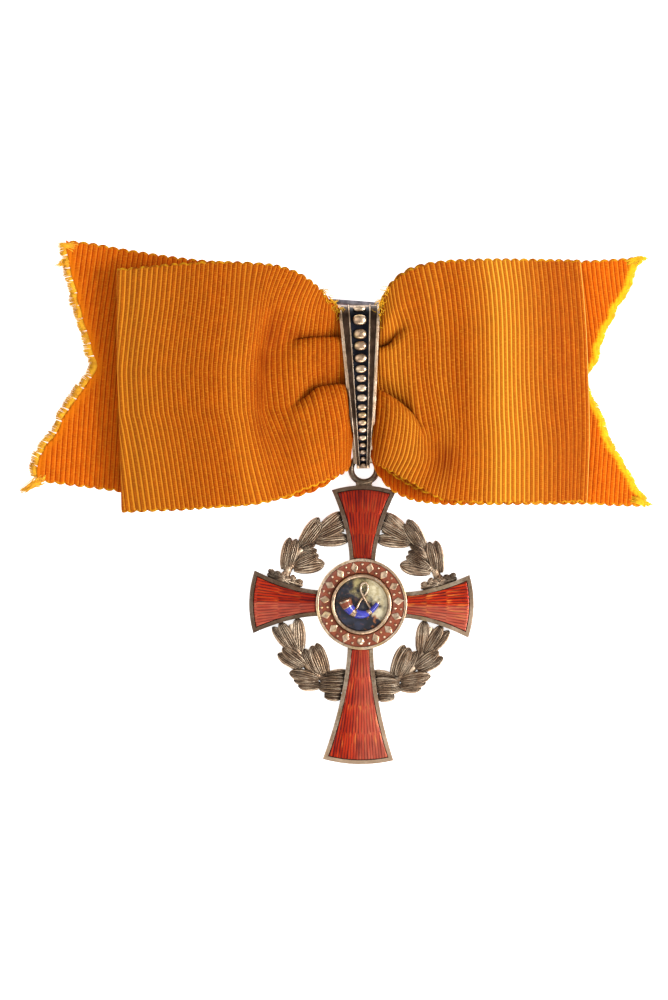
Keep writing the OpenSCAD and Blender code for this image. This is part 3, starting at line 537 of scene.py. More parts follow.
def middle(thing):
    """Middle of an edge or a face."""
    points = [v.co for v in thing.verts]
    return sum(points, Vector()) / len(points)


def rows_of(axis):
    """Vertex numbers of the edited grid, in one set for each place on the axis."""
    shape = bmesh.from_edit_mesh(bpy.context.object.data)
    shape.verts.ensure_lookup_table()
    found = {}
    for v in shape.verts:
        found.setdefault(round(v.co[axis], 4), set()).add(v.index)
    return [found[place] for place in sorted(found)]


def slide(x=0.0, y=0.0, z=0.0):
    bpy.ops.transform.translate(value=(x, y, z))


def scale(x=1.0, y=1.0, z=1.0, about=(0, 0, 0)):
    bpy.ops.transform.resize(value=(x, y, z), center_override=about)


def pull(x=0.0, y=0.0, z=0.0):
    bpy.ops.mesh.extrude_region_move(TRANSFORM_OT_translate={"value": (x, y, z)})


def tidy_faces():
    """Merges doubles and turns every face outwards."""
    everything()
    bpy.ops.mesh.remove_doubles(threshold=0.0005)
    bpy.ops.mesh.normals_make_consistent(inside=False)


def soften(obj, width, segments=2, angle=35):
    """Rounds the sharp edges of a piece with a bevel that is applied."""
    only(obj)
    bevel = obj.modifiers.new("edges", "BEVEL")
    bevel.width, bevel.segments = width, segments
    bevel.limit_method, bevel.angle_limit = "ANGLE", math.radians(angle)
    bpy.ops.object.modifier_apply(modifier="edges")


def put(obj, at=(0, 0, 0), turn=0.0, size=(1, 1, 1)):
    """Moves, turns and sizes a piece, and applies that to its mesh."""
    only(obj)
    obj.location, obj.scale = at, size
    obj.rotation_euler = (0, 0, math.radians(turn))
    bpy.ops.object.transform_apply(location=True, rotation=True, scale=True)
    return obj


def place(obj, at=(0, 0, 0), turn=0.0):
    """Brings a piece from the bench, in millimetres, to its place on the badge, in metres."""
    return put(obj, tuple(c * MM for c in at), turn, (MM, MM, MM))


def hand_over(obj, material, nodes=(), angle=40):
    """Smooths and colours a finished piece, hangs it from the root body, and hides the imported parts that it
    stands for.
    """
    only(obj)
    bpy.ops.object.shade_smooth_by_angle(angle=math.radians(angle))
    if material is not None:
        obj.data.materials.clear()
        obj.data.materials.append(material)
    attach(obj, "root")
    if nodes:
        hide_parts(*nodes)
    return obj


def joined(name, objs):
    only(*objs)
    bpy.ops.object.join()
    obj = bpy.context.object
    obj.name = obj.data.name = name
    return obj


def copy_of(obj, at=(0, 0, 0), turn=0.0, size=(1, 1, 1)):
    """A copy with a mesh of its own, put at its place on the bench."""
    only(obj)
    bpy.ops.object.duplicate()
    return put(bpy.context.object, at, turn, size)


def lathe(name, profile):
    """Turns a closed profile of radius and height from a circle, one ring at a time."""
    radius, height = profile[0]
    begin(bpy.ops.mesh.primitive_circle_add, name, vertices=96, radius=radius)
    slide(z=height)
    for r, z in (*profile[1:], profile[0]):
        pull(z=z - height)
        scale(r / radius, r / radius, 1, (0, 0, z))
        radius, height = r, z
    tidy_faces()
    return shut()


def rod(name, points, radii, sides=4):
    """A round rod through points, from a curve made a mesh."""
    only()
    bpy.ops.curve.primitive_bezier_curve_add()
    obj = bpy.context.object
    obj.name = name
    curve = obj.data
    curve.splines.clear()
    spline = curve.splines.new("NURBS")
    spline.points.add(len(points) - 1)
    for bend, (x, y, z), radius in zip(spline.points, points, radii):
        bend.co, bend.radius = (x, y, z, 1), radius
    spline.order_u, spline.use_endpoint_u, spline.resolution_u = 3, True, 5
    curve.dimensions, curve.bevel_depth, curve.bevel_resolution = "3D", 1.0, sides
    curve.use_fill_caps = True
    bpy.ops.object.convert(target="MESH")
    obj = bpy.context.object
    obj.data.name = name
    bpy.ops.object.mode_set(mode="EDIT")
    tidy_faces()
    return shut()


# Finishes


class Recipe:
    """A material and short ways to add nodes to it."""

    def __init__(self, name):
        self.material = bpy.data.materials.new(name)
        self.material.use_nodes = True
        self.tree = self.material.node_tree
        self.shader = self.tree.nodes["Principled BSDF"]

    def node(self, kind, settings=None, **inputs):
        node = self.tree.nodes.new(kind)
        for key, value in (settings or {}).items():
            setattr(node, key, value)
        for key, value in inputs.items():
            self.feed(node.inputs[key.replace("_", " ")], value)
        return node

    def feed(self, socket, value):
        if isinstance(value, bpy.types.NodeSocket):
            self.tree.links.new(value, socket)
        else:
            socket.default_value = value

    def math(self, operation, *values, clamp=False):
        node = self.node("ShaderNodeMath", {"operation": operation, "use_clamp": clamp})
        for socket, value in zip(node.inputs, values):
            self.feed(socket, value)
        return node.outputs[0]

    def times(self, *values, clamp=False):
        return self.math("MULTIPLY", *values, clamp=clamp)

    def plus(self, *values):
        return self.math("ADD", *values)

    def minus(self, *values):
        return self.math("SUBTRACT", *values)

    def over(self, *values):
        return self.math("DIVIDE", *values)

    def size_of(self, value):
        return self.math("ABSOLUTE", value)

    def arches(self, value, each):
        """A row of arches, from 0 up to 1 and back each time the product grows by pi."""
        return self.size_of(self.math("SINE", self.times(value, each)))

    def blend(self, share, low, high):
        node = self.node("ShaderNodeMix", {"data_type": "RGBA"})
        for key, value in ((0, share), (6, low), (7, high)):
            self.feed(node.inputs[key], value)
        return node.outputs[2]

    def spread(self, value, low, high, to_low=0.0, to_high=1.0):
        node = self.node("ShaderNodeMapRange", {"interpolation_type": "SMOOTHSTEP"}, Value=value)
        for key, number in zip(("From Min", "From Max", "To Min", "To Max"), (low, high, to_low, to_high)):
            node.inputs[key].default_value = number
        return node.outputs[0]

    def noise(self, place, size, detail):
        node = self.node("ShaderNodeTexNoise", Vector=place, Scale=size, Detail=detail)
        return node.outputs["Fac"]

    def moved(self, place, far):
        node = self.node("ShaderNodeVectorMath", {"operation": "ADD"}, Vector=place)
        node.inputs[1].default_value = (far, far, far)
        return node.outputs[0]

    def parts(self, vector):
        return self.node("ShaderNodeSeparateXYZ", Vector=vector).outputs

    def together(self, x=0.0, y=0.0, z=0.0):
        return self.node("ShaderNodeCombineXYZ", X=x, Y=y, Z=z).outputs[0]

    def spot(self):
        return self.node("ShaderNodeTexCoord").outputs["Object"]

    def chart(self, name):
        return self.node("ShaderNodeUVMap", {"uv_map": name}).outputs[0]

    def from_middle(self):
        """Where a point lies, measured from the middle of the cross."""
        place = self.node("ShaderNodeMapping", {"vector_type": "POINT"}, Vector=self.spot())
        x, y = frame_middle()
        place.inputs["Location"].default_value = (-x, -y, 0)
        return place.outputs[0]

    def mark(self, name):
        return self.node("ShaderNodeAttribute", {"attribute_name": name}).outputs["Fac"]

    def crease(self, reach):
        return self.node("ShaderNodeAmbientOcclusion", {"samples": 6}, Distance=reach).outputs["AO"]

    def streaks(self, x, x_size, y, y_size, detail, shift=0.0):
        """Noise drawn out along one way of a chart."""
        place = self.together(self.times(x, x_size), self.times(y, y_size), shift)
        return self.noise(place, 1.0, detail)

    def bump(self, height, depth, strength):
        node = self.node("ShaderNodeBump", Height=height, Distance=depth, Strength=strength)
        self.feed(self.shader.inputs["Normal"], node.outputs[0])

    def finish(self, color, roughness, **constants):
        self.feed(self.shader.inputs["Base Color"], color)
        self.feed(self.shader.inputs["Roughness"], roughness)
        for key, value in constants.items():
            self.shader.inputs[key.replace("_", " ")].default_value = value
        return self.material


def shade(color, factor):
    return tuple(min(1.0, c * factor) for c in color[:3]) + (1.0,)


def ribbed_silk(name, color, groove, settings, side, loosened):
    """Grosgrain: rounded ribs, fine warp threads across them, a yellow selvedge and a worn end; with
    painted highlights on the ribs' lit flanks, a painted sheen where folds turn to the light, and painted
    shade in the folds' hollows and creases.
    """
    r = Recipe(name)
    chart = r.parts(r.chart("ribs"))
    rib, along = chart[0], chart[1]
    glow = r.mark("glow")
    top = r.arches(rib, math.pi)
    flank = r.math("SINE", r.times(rib, -2 * math.pi * side))
    turned = r.times(r.math("FLOOR", rib), math.pi)
    thread = r.math("SINE", r.plus(r.times(along, math.pi * MM / settings.thread_pitch), turned))
    streak = r.streaks(rib, 1.1, along, 0.5, 4.0)
    dash = r.streaks(rib, 1.1, along, 5.0, 1.0)
    fleck = r.streaks(rib, 2.3, along, 2.2, 2.0, 7.0)
    body = r.blend(r.spread(streak, 0.3, 0.7), shade(color, 0.82), shade(color, 1.14))
    body = r.blend(r.times(r.spread(thread, -0.2, 1.0), 0.14), body, settings.highlight)
    # Painted highlight: the flank of each rib that faces the light is brightened towards the lit colour, more
    # so where the painted sheen is strong
    line = r.spread(r.plus(flank, r.times(glow, 0.2)), 0.4, 1.1)
    body = r.blend(r.times(line, 0.36), body, settings.lit)
    body = r.blend(r.spread(dash, 0.5, 0.76, 0.0, 0.3), body, settings.lit)
    body = r.blend(r.spread(fleck, 0.5, 0.76, 0.0, 0.38), body, shade(groove, 1.3))
    gap = r.blend(r.spread(fleck, 0.4, 0.6), groove, settings.red_thread)
    ribs = r.blend(r.spread(top, 0.05, 0.46), gap, body)
    # Painted sheen where a fold turns to the light, and a painted highlight line along the edge of the right
    # loop's outer fold
    shine = settings.shine if side > 0 else shade(settings.lit, 1.12)
    shone = r.times(glow, r.spread(line, 0.0, 0.9, 0.2, 0.85), clamp=True)
    ribs = r.blend(shone, ribs, shine)
    ribs = r.blend(r.spread(glow, 1.4, 2.4, 0.0, 0.75), ribs, settings.fold_highlight)
    pair = r.arches(rib, math.pi / 2)  # painted shade in a fold keeps its ribs two by two
    dusk = r.times(r.mark("dull"), r.spread(pair, 0.2, 0.8, 1.0, 0.5), clamp=True)
    ribs = r.blend(dusk, ribs, shade(groove, 1.1))
    twist = r.noise(r.spot(), 1400.0, 2.0)
    edge_color = r.blend(r.spread(twist, 0.35, 0.65), settings.selvedge, shade(color, 0.7))
    ribs = r.blend(r.spread(r.mark("selvedge"), 0.45, 0.9, 0.0, 0.85), ribs, edge_color)
    ragged = r.plus(r.mark("fray"), r.times(r.minus(dash, 0.5), 0.9))
    ribs = r.blend(r.spread(ragged, 0.15, 1.0, 0.0, 0.92), ribs, loosened)
    # Painted shade: darker where the ribbon lies in a crease or close under other parts
    ribs = r.blend(r.spread(r.crease(0.0035), 0.2, 0.8, 0.55, 0.0), ribs, shade(groove, 0.45))
    r.bump(r.plus(r.times(thread, 0.5), r.times(fleck, 0.6)), 0.00003, 0.5)
    return r.finish(ribs, 0.75, Specular_IOR_Level=0.04)


def loose_silk(name, color):
    r = Recipe(name)
    tone = r.noise(r.spot(), 900.0, 2.0)
    hue = r.blend(r.spread(tone, 0.3, 0.7), shade(color, 0.75), shade(color, 1.2))
    r.bump(tone, 0.00003, 0.4)
    return r.finish(hue, 0.6, Sheen_Weight=0.05, Sheen_Roughness=0.5, Specular_IOR_Level=0.15)


def old_gilt(name, settings, reach, dark, tone=1.0, yellow=0.0, veins=False, lean=False):
    """Worn silver-gilt: bright where it is rubbed, brown to black where it is hollow; with lean, painted
    shade towards the top left and painted light towards the foot.
    """
    r = Recipe(name)
    spot = r.spot()
    wear = r.noise(spot, 420.0, 4.0)
    grain = r.noise(spot, 2600.0, 3.0)
    open_share = r.crease(reach)
    film = r.times(r.spread(wear, 0.42, 0.62), 0.6)
    metal = r.blend(film, shade(settings.gilt, tone), shade(settings.rubbed, tone))
    metal = r.blend(r.spread(grain, 0.46, 0.72, 0.0, 0.7), metal, shade(settings.gilt, 0.38 * tone))
    fresh = r.noise(r.moved(spot, 3.0), 330.0, 2.0)
    metal = r.blend(r.spread(fresh, 0.52, 0.7, 0.0, yellow), metal, shade(settings.fresh, tone))
    if lean:  # painted shade towards the top left, painted light towards the foot
        x, y, _ = r.parts(r.from_middle())
        side = r.over(r.minus(x, y), MM)
        metal = r.blend(r.spread(side, -13.0, 12.0, 0.75, 0.12), metal, settings.umber_and_shade)
        metal = r.blend(r.spread(side, 13.0, 22.0, 0.0, 0.5), metal, settings.lit_gilt)
    hollow = r.spread(open_share, 0.3 * dark, 0.86, 1.0, 0.0)
    if veins:  # cuts between the leaf's ribs, a tone for each leaf, and darker feet
        chart = r.parts(r.chart("UVMap"))
        waver = r.times(r.noise(spot, 700.0, 2.0), 0.09)
        ridge = r.math("COSINE", r.times(r.plus(chart[0], waver), (len(LEAF_RIBS) - 1) * math.pi))
        cut = r.times(r.spread(ridge, -1.0, 0.0, 0.9, 0.0), r.spread(fresh, 0.36, 0.6, 0.3, 1.0))
        hollow = r.math("MAXIMUM", hollow, cut)
        x, y, _ = r.parts(r.from_middle())
        leaf = r.together(r.times(chart[0], 6.0), chart[1], r.times(x, 500.0))
        rub = r.noise(leaf, 1.0, 2.0)
        metal = r.blend(r.spread(rub, 0.5, 0.68, 0.0, 0.8), metal, shade(settings.rubbed, 1.2))
        metal = r.blend(r.spread(rub, 0.32, 0.5, 0.75, 0.0), metal, settings.umber_and_shade)
        far_out = r.spread(r.size_of(x), *FEET_OUT)
        low_down = r.spread(r.size_of(r.minus(y, FEET_Y)), 0.0012, 0.0017, 0.8, 0.0)
        hollow = r.math("MAXIMUM", hollow, r.times(far_out, low_down))
        r.bump(r.plus(ridge, grain), 0.00007, 0.8)
    else:
        r.bump(r.plus(grain, r.times(wear, 0.6)), 0.00003, 0.55)
    color = r.blend(r.times(hollow, 0.95), metal, settings.tarnish)
    low, high = (0.5, 0.75) if veins else (0.3, 0.62)
    rough = r.spread(r.plus(r.times(hollow, 0.5), r.times(wear, 0.5)), 0.1, 0.8, low, high)
    return r.finish(color, rough, Metallic=1.0)


def cut_ground_enamel(name, settings, turn, cut):
    """Clear red enamel over a ground cut with rays in steps, read from the middle of the cross; with
    painted glints, and a painted sheen on the side that faces the light.
    """
    first, far_step, lit_side, edge, lit_sheen_share, glints, dusk = cut
    r = Recipe(name)
    x, y, _ = r.parts(r.from_middle())
    ray = r.node("ShaderNodeMapping", {"vector_type": "POINT"}, Vector=r.together(x, y))
    ray.inputs["Rotation"].default_value = (0, 0, math.radians(-turn))
    x, y, _ = r.parts(ray.outputs[0])
    angle = r.math("ARCTAN2", x, y)
    far = r.over(r.math("SQRT", r.plus(r.times(x, x), r.times(y, y))), MM)
    jag = r.noise(r.together(r.times(angle, 130.0), 0.0, 0.0), 1.0, 1.0)
    reach = r.plus(r.over(r.minus(far, first), far_step), r.times(jag, 0.5))
    reach = r.plus(reach, RAY_STEPS_IN - 0.25)
    step, within = r.math("FLOOR", reach), r.math("FRACT", reach)
    band = r.plus(r.times(step, far_step), first - (RAY_STEPS_IN - 0.5) * far_step)
    rays = r.times(angle, r.over(band, settings.ray_pitch / MM))
    rays = r.plus(rays, r.times(step, 5.37))  # no two steps have their rays in line
    line = r.arches(rays, math.pi)
    reds = settings.deep_red, settings.bright_red, settings.spark_red
    deep, bright, spark = (shade(color, dusk) for color in reds)
    streak = r.streaks(rays, 0.9, far, 0.2, 2.0)
    glint = r.streaks(rays, 1.3, far, 0.35, 2.0, 5.0)
    cloud = r.noise(r.spot(), 210.0, 2.0)
    # Painted sheen: a pale sheen over the cuts on the arm's side that faces the light, which also weakens the
    # dark cut lines there
    slant = r.times(r.over(x, MM), lit_side)
    lit_sheen = r.spread(r.plus(slant, r.times(cloud, 0.4)), 0.2 - edge, 0.2 + edge)
    tinge = r.plus(streak, r.times(r.minus(cloud, 0.5), 0.8))
    color = r.blend(r.spread(tinge, 0.25, 0.65), deep, bright)
    lit_sheen_mask = r.times(r.times(lit_sheen, lit_sheen_share), r.spread(glint, 0.3, 0.7, 0.55, 1.0))
    color = r.blend(lit_sheen_mask, color, settings.lit_sheen)
    # Painted glints: bright sparks on the cuts, strongest at the inner start of each step
    inner = r.spread(within, 0.0, 0.7, 1.0, 0.45)
    shone = r.spread(glint, 0.5, 0.68)
    shine = r.times(shone, r.times(inner, r.spread(cloud, 0.42, 0.6, 0.25, 1.0)))
    color = r.blend(r.times(shine, glints), color, spark)
    color = r.blend(r.spread(far, 7.0, 13.0, 0.35, 0.0), color, shade(deep, 0.6))
    taper = r.times(r.spread(within, 0.02, 0.45, 0.55, 1.0), r.spread(within, 0.93, 1.0, 1.0, 0.65))
    thin = r.times(taper, r.spread(streak, 0.3, 0.7, 1.05, 0.6))
    dark = r.math("SUBTRACT", 1.0, r.over(line, r.math("MAXIMUM", thin, 0.02)), clamp=True)
    dark = r.times(dark, r.spread(lit_sheen, 0.0, 1.0, 1.0, 0.72))
    dark = r.math("MAXIMUM", dark, r.times(r.spread(within, 0.9, 1.0), 0.1))
    color = r.blend(dark, color, settings.cut_shadow)
    r.bump(line, 0.00005, 0.3)
    return r.finish(
        color, 0.36, Metallic=0.2, Coat_Weight=0.12, Coat_Roughness=0.06, Specular_IOR_Level=0.03
    )


def plain_enamel(name, color, dusk):
    """Opaque enamel, clouded towards a darker shade of its colour."""
    r = Recipe(name)
    cloud = r.noise(r.spot(), 700.0, 3.0)
    tone = r.blend(r.spread(cloud, 0.35, 0.7), color, shade(color, dusk))
    r.bump(cloud, 0.00003, 0.3)
    return r.finish(tone, 0.3, Coat_Weight=0.5, Coat_Roughness=0.05, Specular_IOR_Level=0.2)


def sunk_ground(name):
    """The medallion's ground: dark enamel, worn through to gilt at the top and to cream at the right."""
    r = Recipe(name)
    spot = r.spot()
    x, y, _ = r.parts(r.from_middle())
    blot = r.noise(spot, 560.0, 3.0)
    speck = r.noise(spot, 1700.0, 2.0)
    lean = r.over(r.plus(r.times(x, 0.8), r.times(y, 0.95)), 0.004)
    worn = r.spread(r.plus(lean, r.times(r.minus(blot, 0.5), 3.0)), 0.05, 0.55)
    ink, slate, red_rust = (0.005, 0.005, 0.009, 1), (0.022, 0.026, 0.055, 1), (0.30, 0.10, 0.03, 1)
    dull_khaki, pale_khaki = (0.10, 0.075, 0.028, 1), (0.36, 0.29, 0.12, 1)
    dull_cream, pale_cream = (0.42, 0.34, 0.18, 1), (0.66, 0.58, 0.38, 1)
    dark = r.blend(r.spread(blot, 0.35, 0.7), ink, slate)
    rust = r.times(r.spread(speck, 0.56, 0.64), r.spread(x, 0.0, 0.0018, 0.15, 0.9))
    dark = r.blend(rust, dark, red_rust)
    khaki = r.blend(r.spread(speck, 0.35, 0.65), dull_khaki, pale_khaki)
    cream = r.blend(r.spread(speck, 0.3, 0.6), dull_cream, pale_cream)
    gilt = r.blend(r.spread(x, 0.0004, 0.0020), khaki, cream)
    r.bump(blot, 0.00005, 0.5)
    return r.finish(r.blend(worn, dark, gilt), 0.4, Metallic=0.2, Coat_Weight=0.4, Coat_Roughness=0.1)


def blackened_metal(name, color):
    r = Recipe(name)
    stain = r.noise(r.spot(), 900.0, 3.0)
    tone = r.blend(r.spread(stain, 0.35, 0.75), color, shade(color, 2.3))
    r.bump(stain, 0.00004, 0.6)
    return r.finish(tone, 0.42, Metallic=1.0)


def drawn_steel(name):
    r = Recipe(name)
    tone = r.noise(r.spot(), 800.0, 3.0)
    bright, dark = (0.42, 0.39, 0.43, 1), (0.16, 0.14, 0.17, 1)
    color = r.blend(r.spread(tone, 0.3, 0.7), bright, dark)
    r.bump(tone, 0.00002, 0.4)
    return r.finish(color, 0.35, Metallic=1.0)


def pale_board(name, color):
    r = Recipe(name)
    tone = r.noise(r.spot(), 30.0, 4.0)
    board = r.blend(r.spread(tone, 0.3, 0.7), color, shade(color, 0.99))
    return r.finish(board, 0.9, Emission_Color=(1, 1, 1, 1), Emission_Strength=0.8)


def frame_middle():
    low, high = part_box("medallion_disc")
    return (low[0] + high[0]) / 2, (low[1] + high[1]) / 2


# Sizes and colours that a user would change


def length(name, description, default, low=0.0, high=1.0):
    return FloatProperty(
        name=name, description=description, default=default, min=low, max=high,
        subtype="DISTANCE", unit="LENGTH", precision=5,
    )


def paint(name, description, default):
    return FloatVectorProperty(
        name=name, description=description, default=default, size=4, min=0.0, max=1.0, subtype="COLOR"
    )


class RibbonSettings(bpy.types.PropertyGroup):
    """Cut, weave and colours of the ribbon"""

    width: length("Width", "Width of the ribbon between its selvedges", 0.0373)
    thickness: length("Thickness", "Thickness of the ribbon in its grooves", 0.00022)
    relief: length("Rib relief", "Height of a rib over the grooves", 0.00008)
    scallop: length("Scallop", "How far the selvedge's loops stand out", 0.00036)
    rib_pitch: length("Rib pitch", "Distance between ribs", 0.00076)
    thread_pitch: length("Thread pitch", "Distance between warp threads", 0.00018)
    bow_color: paint("Bow", "Colour of the loops", (0.375, 0.066, 0.0008, 1))
    bow_groove: paint("Bow's grooves", "Colour between the ribs of the loops", (0.165, 0.018, 0.0002, 1))
    tail_color: paint("Tails", "Colour of the tails", (0.60, 0.098, 0.001, 1))
    tail_groove: paint("Tails' grooves", "Colour between the ribs of the tails", (0.36, 0.030, 0.0003, 1))
    highlight: paint("Warp", "Colour of the raised warp threads", (0.60, 0.18, 0.02, 1))
    # Lit flank: painted highlight on the flank of each rib that faces the light; also the colour of the
    # weave's light dashes, and, brightened, of the left loop's painted sheen
    lit: paint("Lit flank", "Colour of the silk's brightest threads", (0.80, 0.30, 0.02, 1))
    shine: paint("Shine", "Colour of the silk where a fold turns to the light", (0.80, 0.36, 0.03, 1))
    # Fold highlight: painted highlight along the edge of an outer fold
    fold_highlight: paint("Fold line", "Colour of the silk along the edge of an outer fold", (1.0, 0.62, 0.16, 1))
    red_thread: paint("Red threads", "Colour of the reddest threads in the grooves", (0.27, 0.022, 0.001, 1))
    selvedge: paint("Selvedge", "Colour of the woven edges", (0.62, 0.30, 0.008, 1))
    strand_color: paint("Strands", "Colour of the right tail's frayed threads", (1.0, 0.52, 0.012, 1))
    faded_strand: paint("Faded strands", "Colour of the left tail's frayed threads", (1.0, 0.46, 0.025, 1))
    loosened: paint("Loosened", "Colour of the left tail where its ribs come apart", (0.66, 0.15, 0.003, 1))


class MetalSettings(bpy.types.PropertyGroup):
    """Colours and sizes of the silver-gilt parts"""

    gilt: paint("Gilt", "Colour of the gilt metal", (0.47, 0.315, 0.2, 1))
    rubbed: paint("Rubbed", "Colour where the gilding is rubbed", (0.78, 0.64, 0.48, 1))
    fresh: paint("Fresh gilt", "Colour where the gilding is thick", (0.80, 0.55, 0.17, 1))
    # Umber: the leaves' dark tone and the painted shade on the borders towards the top left; lit gilt:
    # painted light on the borders towards the foot
    umber_and_shade: paint("Umber", "Colour of the borders towards the top left", (0.10, 0.052, 0.034, 1))
    lit_gilt: paint("Polished", "Colour of the borders towards the foot", (0.92, 0.62, 0.41, 1))
    tarnish: paint("Tarnish", "Colour of the hollows", (0.040, 0.027, 0.022, 1))
    bronze: paint("Bronze", "Colour of the browned flutes", (0.034, 0.020, 0.013, 1))
    black: paint("Black", "Colour of the blackened channel", (0.007, 0.007, 0.010, 1))
    plate: length("Plate", "Thickness of the cross plate", 0.0017)
    border: length("Border", "Width of the raised borders", 0.0007)
    cell: length("Cell", "Depth of the enamelled cells", 0.0006)
    ornaments: IntProperty(
        name="Ornaments", description="Ornaments round the medallion", default=15, min=6, max=24
    )


class EnamelSettings(bpy.types.PropertyGroup):
    """Colours and cut ground of the enamels"""

    deep_red: paint("Deep red", "Colour of the clear enamel where it is thick", (0.19, 0.008, 0.003, 1))
    bright_red: paint("Bright red", "Colour of the clear enamel over bright ground", (0.47, 0.028, 0.006, 1))
    # Painted light of the cut ground: the spark colour paints its glints, and the lit sheen colour paints a
    # sheen on the cuts that face the light
    spark_red: paint("Spark", "Colour of the brightest cuts under the clear enamel", (0.90, 0.30, 0.05, 1))
    lit_sheen: paint("Haze", "Colour of the cuts that face the light", (0.44, 0.105, 0.065, 1))
    cut_shadow: paint("Cut shadow", "Colour of the darkest cuts", (0.022, 0.005, 0.011, 1))
    band_color: paint("Band", "Opaque enamel round the medallion", (0.235, 0.056, 0.024, 1))
    horn_color: paint("Horn", "Opaque enamel of the horn", (0.055, 0.06, 0.42, 1))
    mouth_color: paint("Mouth", "Enamel inside the horn's bell", (0.24, 0.055, 0.022, 1))
    ray_pitch: length("Ray pitch", "Distance between rays of the cut ground", 0.00042)


class StageSettings(bpy.types.PropertyGroup):
    """Camera and floor"""

    distance: length("Distance", "Height of the camera over the floor", 0.6508)
    view_x: length("View's middle, X", "Middle of the picture", -0.000775, -1.0)
    view_y: length("View's middle, Y", "Middle of the picture", 0.00031, -1.0)
    floor_color: paint("Floor", "Colour of the floor", (0.93, 0.93, 0.93, 1))


def settings():
    scene = bpy.context.scene
    return scene.badge_ribbon, scene.badge_metal, scene.badge_enamel, scene.badge_stage


# Operators


class BADGE_OT_stage(bpy.types.Operator):
    """Pale floor, soft studio lights, and a camera that looks straight down"""

    bl_idname = "badge.stage"
    bl_label = "Stage"

    def execute(self, context):
        stage = settings()[3]
        scene = context.scene
        scene.view_settings.view_transform = "Standard"
        only()
        view = (stage.view_x, stage.view_y, stage.distance)
        bpy.ops.object.camera_add(location=view, rotation=(0, 0, 0))
        camera = bpy.context.object
        camera.name = "camera"
        camera.data.lens, camera.data.sensor_width = 150, 36
        camera.data.clip_start, camera.data.clip_end = 0.01, 20
        scene.camera = camera
        floor = begin(bpy.ops.mesh.primitive_grid_add, "floor", x_subdivisions=8, y_subdivisions=8, size=6)
        shut()
        floor.data.materials.append(pale_board("floor_board", stage.floor_color))
        world = bpy.data.worlds.new("studio")
        world.use_nodes = True
        sky = world.node_tree.nodes["Background"].inputs
        sky["Color"].default_value, sky["Strength"].default_value = (1, 1, 1, 1), 0.5
        scene.world = world
        for name, place_at, size, power in (  # place and size in metres, power in watts
            ("key", (0.40, -0.02, 0.36), 0.22, 3.2),
            ("low", (0.12, -0.50, 0.28), 0.30, 1.6),
            ("fill", (-0.36, 0.12, 0.60), 0.55, 1.2),
        ):
            bpy.ops.object.light_add(type="AREA", location=place_at)
            light = bpy.context.object
            light.name = name
            light.data.size, light.data.energy = size, power
            light.rotation_euler = (-Vector(place_at)).to_track_quat("-Z", "Y").to_euler()
        return {"FINISHED"}


LOW_EDGE = (0, 0.004, 0.010, 0.018, 0.028, 0.042)
HIGH_EDGE = (0.958, 0.972, 0.982, 0.990, 0.996, 1.0)


def lines_across(*stretches):
    """Shares of the width at which lines run along the ribbon, closer together at its edges."""
    return np.unique(np.concatenate([LOW_EDGE, *(np.linspace(*each) for each in stretches), HIGH_EDGE]))


# From, to and how many; closer where a loop is creased
LOOP_LINES = lines_across(
    (0.06, 0.33, 15), (0.34, 0.43, 13), (0.45, 0.62, 9), (0.63, 0.71, 11), (0.73, 0.94, 12)
)
TAIL_LINES = lines_across((0.06, 0.94, 44))


class BADGE_OT_bow(bpy.types.Operator):
    """The two loops of the bow, gathered under the bail"""

    bl_idname = "badge.bow"
    bl_label = "Bow"

    def execute(self, context):
        ribbon = settings()[0]
        bare = loose_silk("loop_threads", shade(ribbon.strand_color, 0.85))
        chance = np.random.default_rng(4)
        pitch = ribbon.rib_pitch / MM
        for name, front, back, shine, side in (
            ("bow_left", LEFT_LOOP, LEFT_BACK, LEFT_PAINTED_SHEEN, -1),
            ("bow_right", RIGHT_LOOP, RIGHT_BACK, RIGHT_PAINTED_SHEEN, 1),
        ):
            ribs, points = loop_rows(front, back, side, LOOP_LINES, pitch)
            turn = front[-1][0]
            at = np.concatenate([
                np.arange(ribs[0], turn, 1 / ROWS_A_RIB), np.arange(turn, ribs[-1], 1 / BACK_ROWS_A_RIB)
            ])
            points = smooth_table(ribs, points, at)
            numbers = bowed_ribs(at, LOOP_LINES, side)
            skins = ribbon_skins(numbers, points, LOOP_LINES, side, ribbon)
            marks = {
                "glow": np.interp(numbers, *zip(*shine)), "dull": painted_fold_shade(numbers, LOOP_LINES, side),
                "fray": np.zeros(1),
            }
            loop = ribbon_object(name, skins, numbers, LOOP_LINES, ribbon, marks)
            silk = ribbed_silk(name + "_silk", ribbon.bow_color, ribbon.bow_groove, ribbon, side, ribbon.lit)
            hand_over(loop, silk, ["ribbon_bow"], 180)
            strands = loose_threads(LOOSE_EDGES[int(side > 0)], chance)
            fringe = strands_object(name + "_strands", strands, LOOP_THREAD)
            hand_over(fringe, bare, (), 180)
        return {"FINISHED"}


# The tails: name, rows, cut, side, how ragged the cut is in rows, reach of its fraying in
# millimetres, tone, and the tufts of its threads: distance between them, share left bare, length
TAILS = (
    ("tail_left", LEFT_TAIL, LEFT_CUT, -1, 1.2, 1.1, 0.98, (2.05, 0.2, 1.15)),
    ("tail_right", RIGHT_TAIL, RIGHT_CUT, 1, 2.2, 0.75, 1.0, (1.2, 0.0, 0.72)),
)


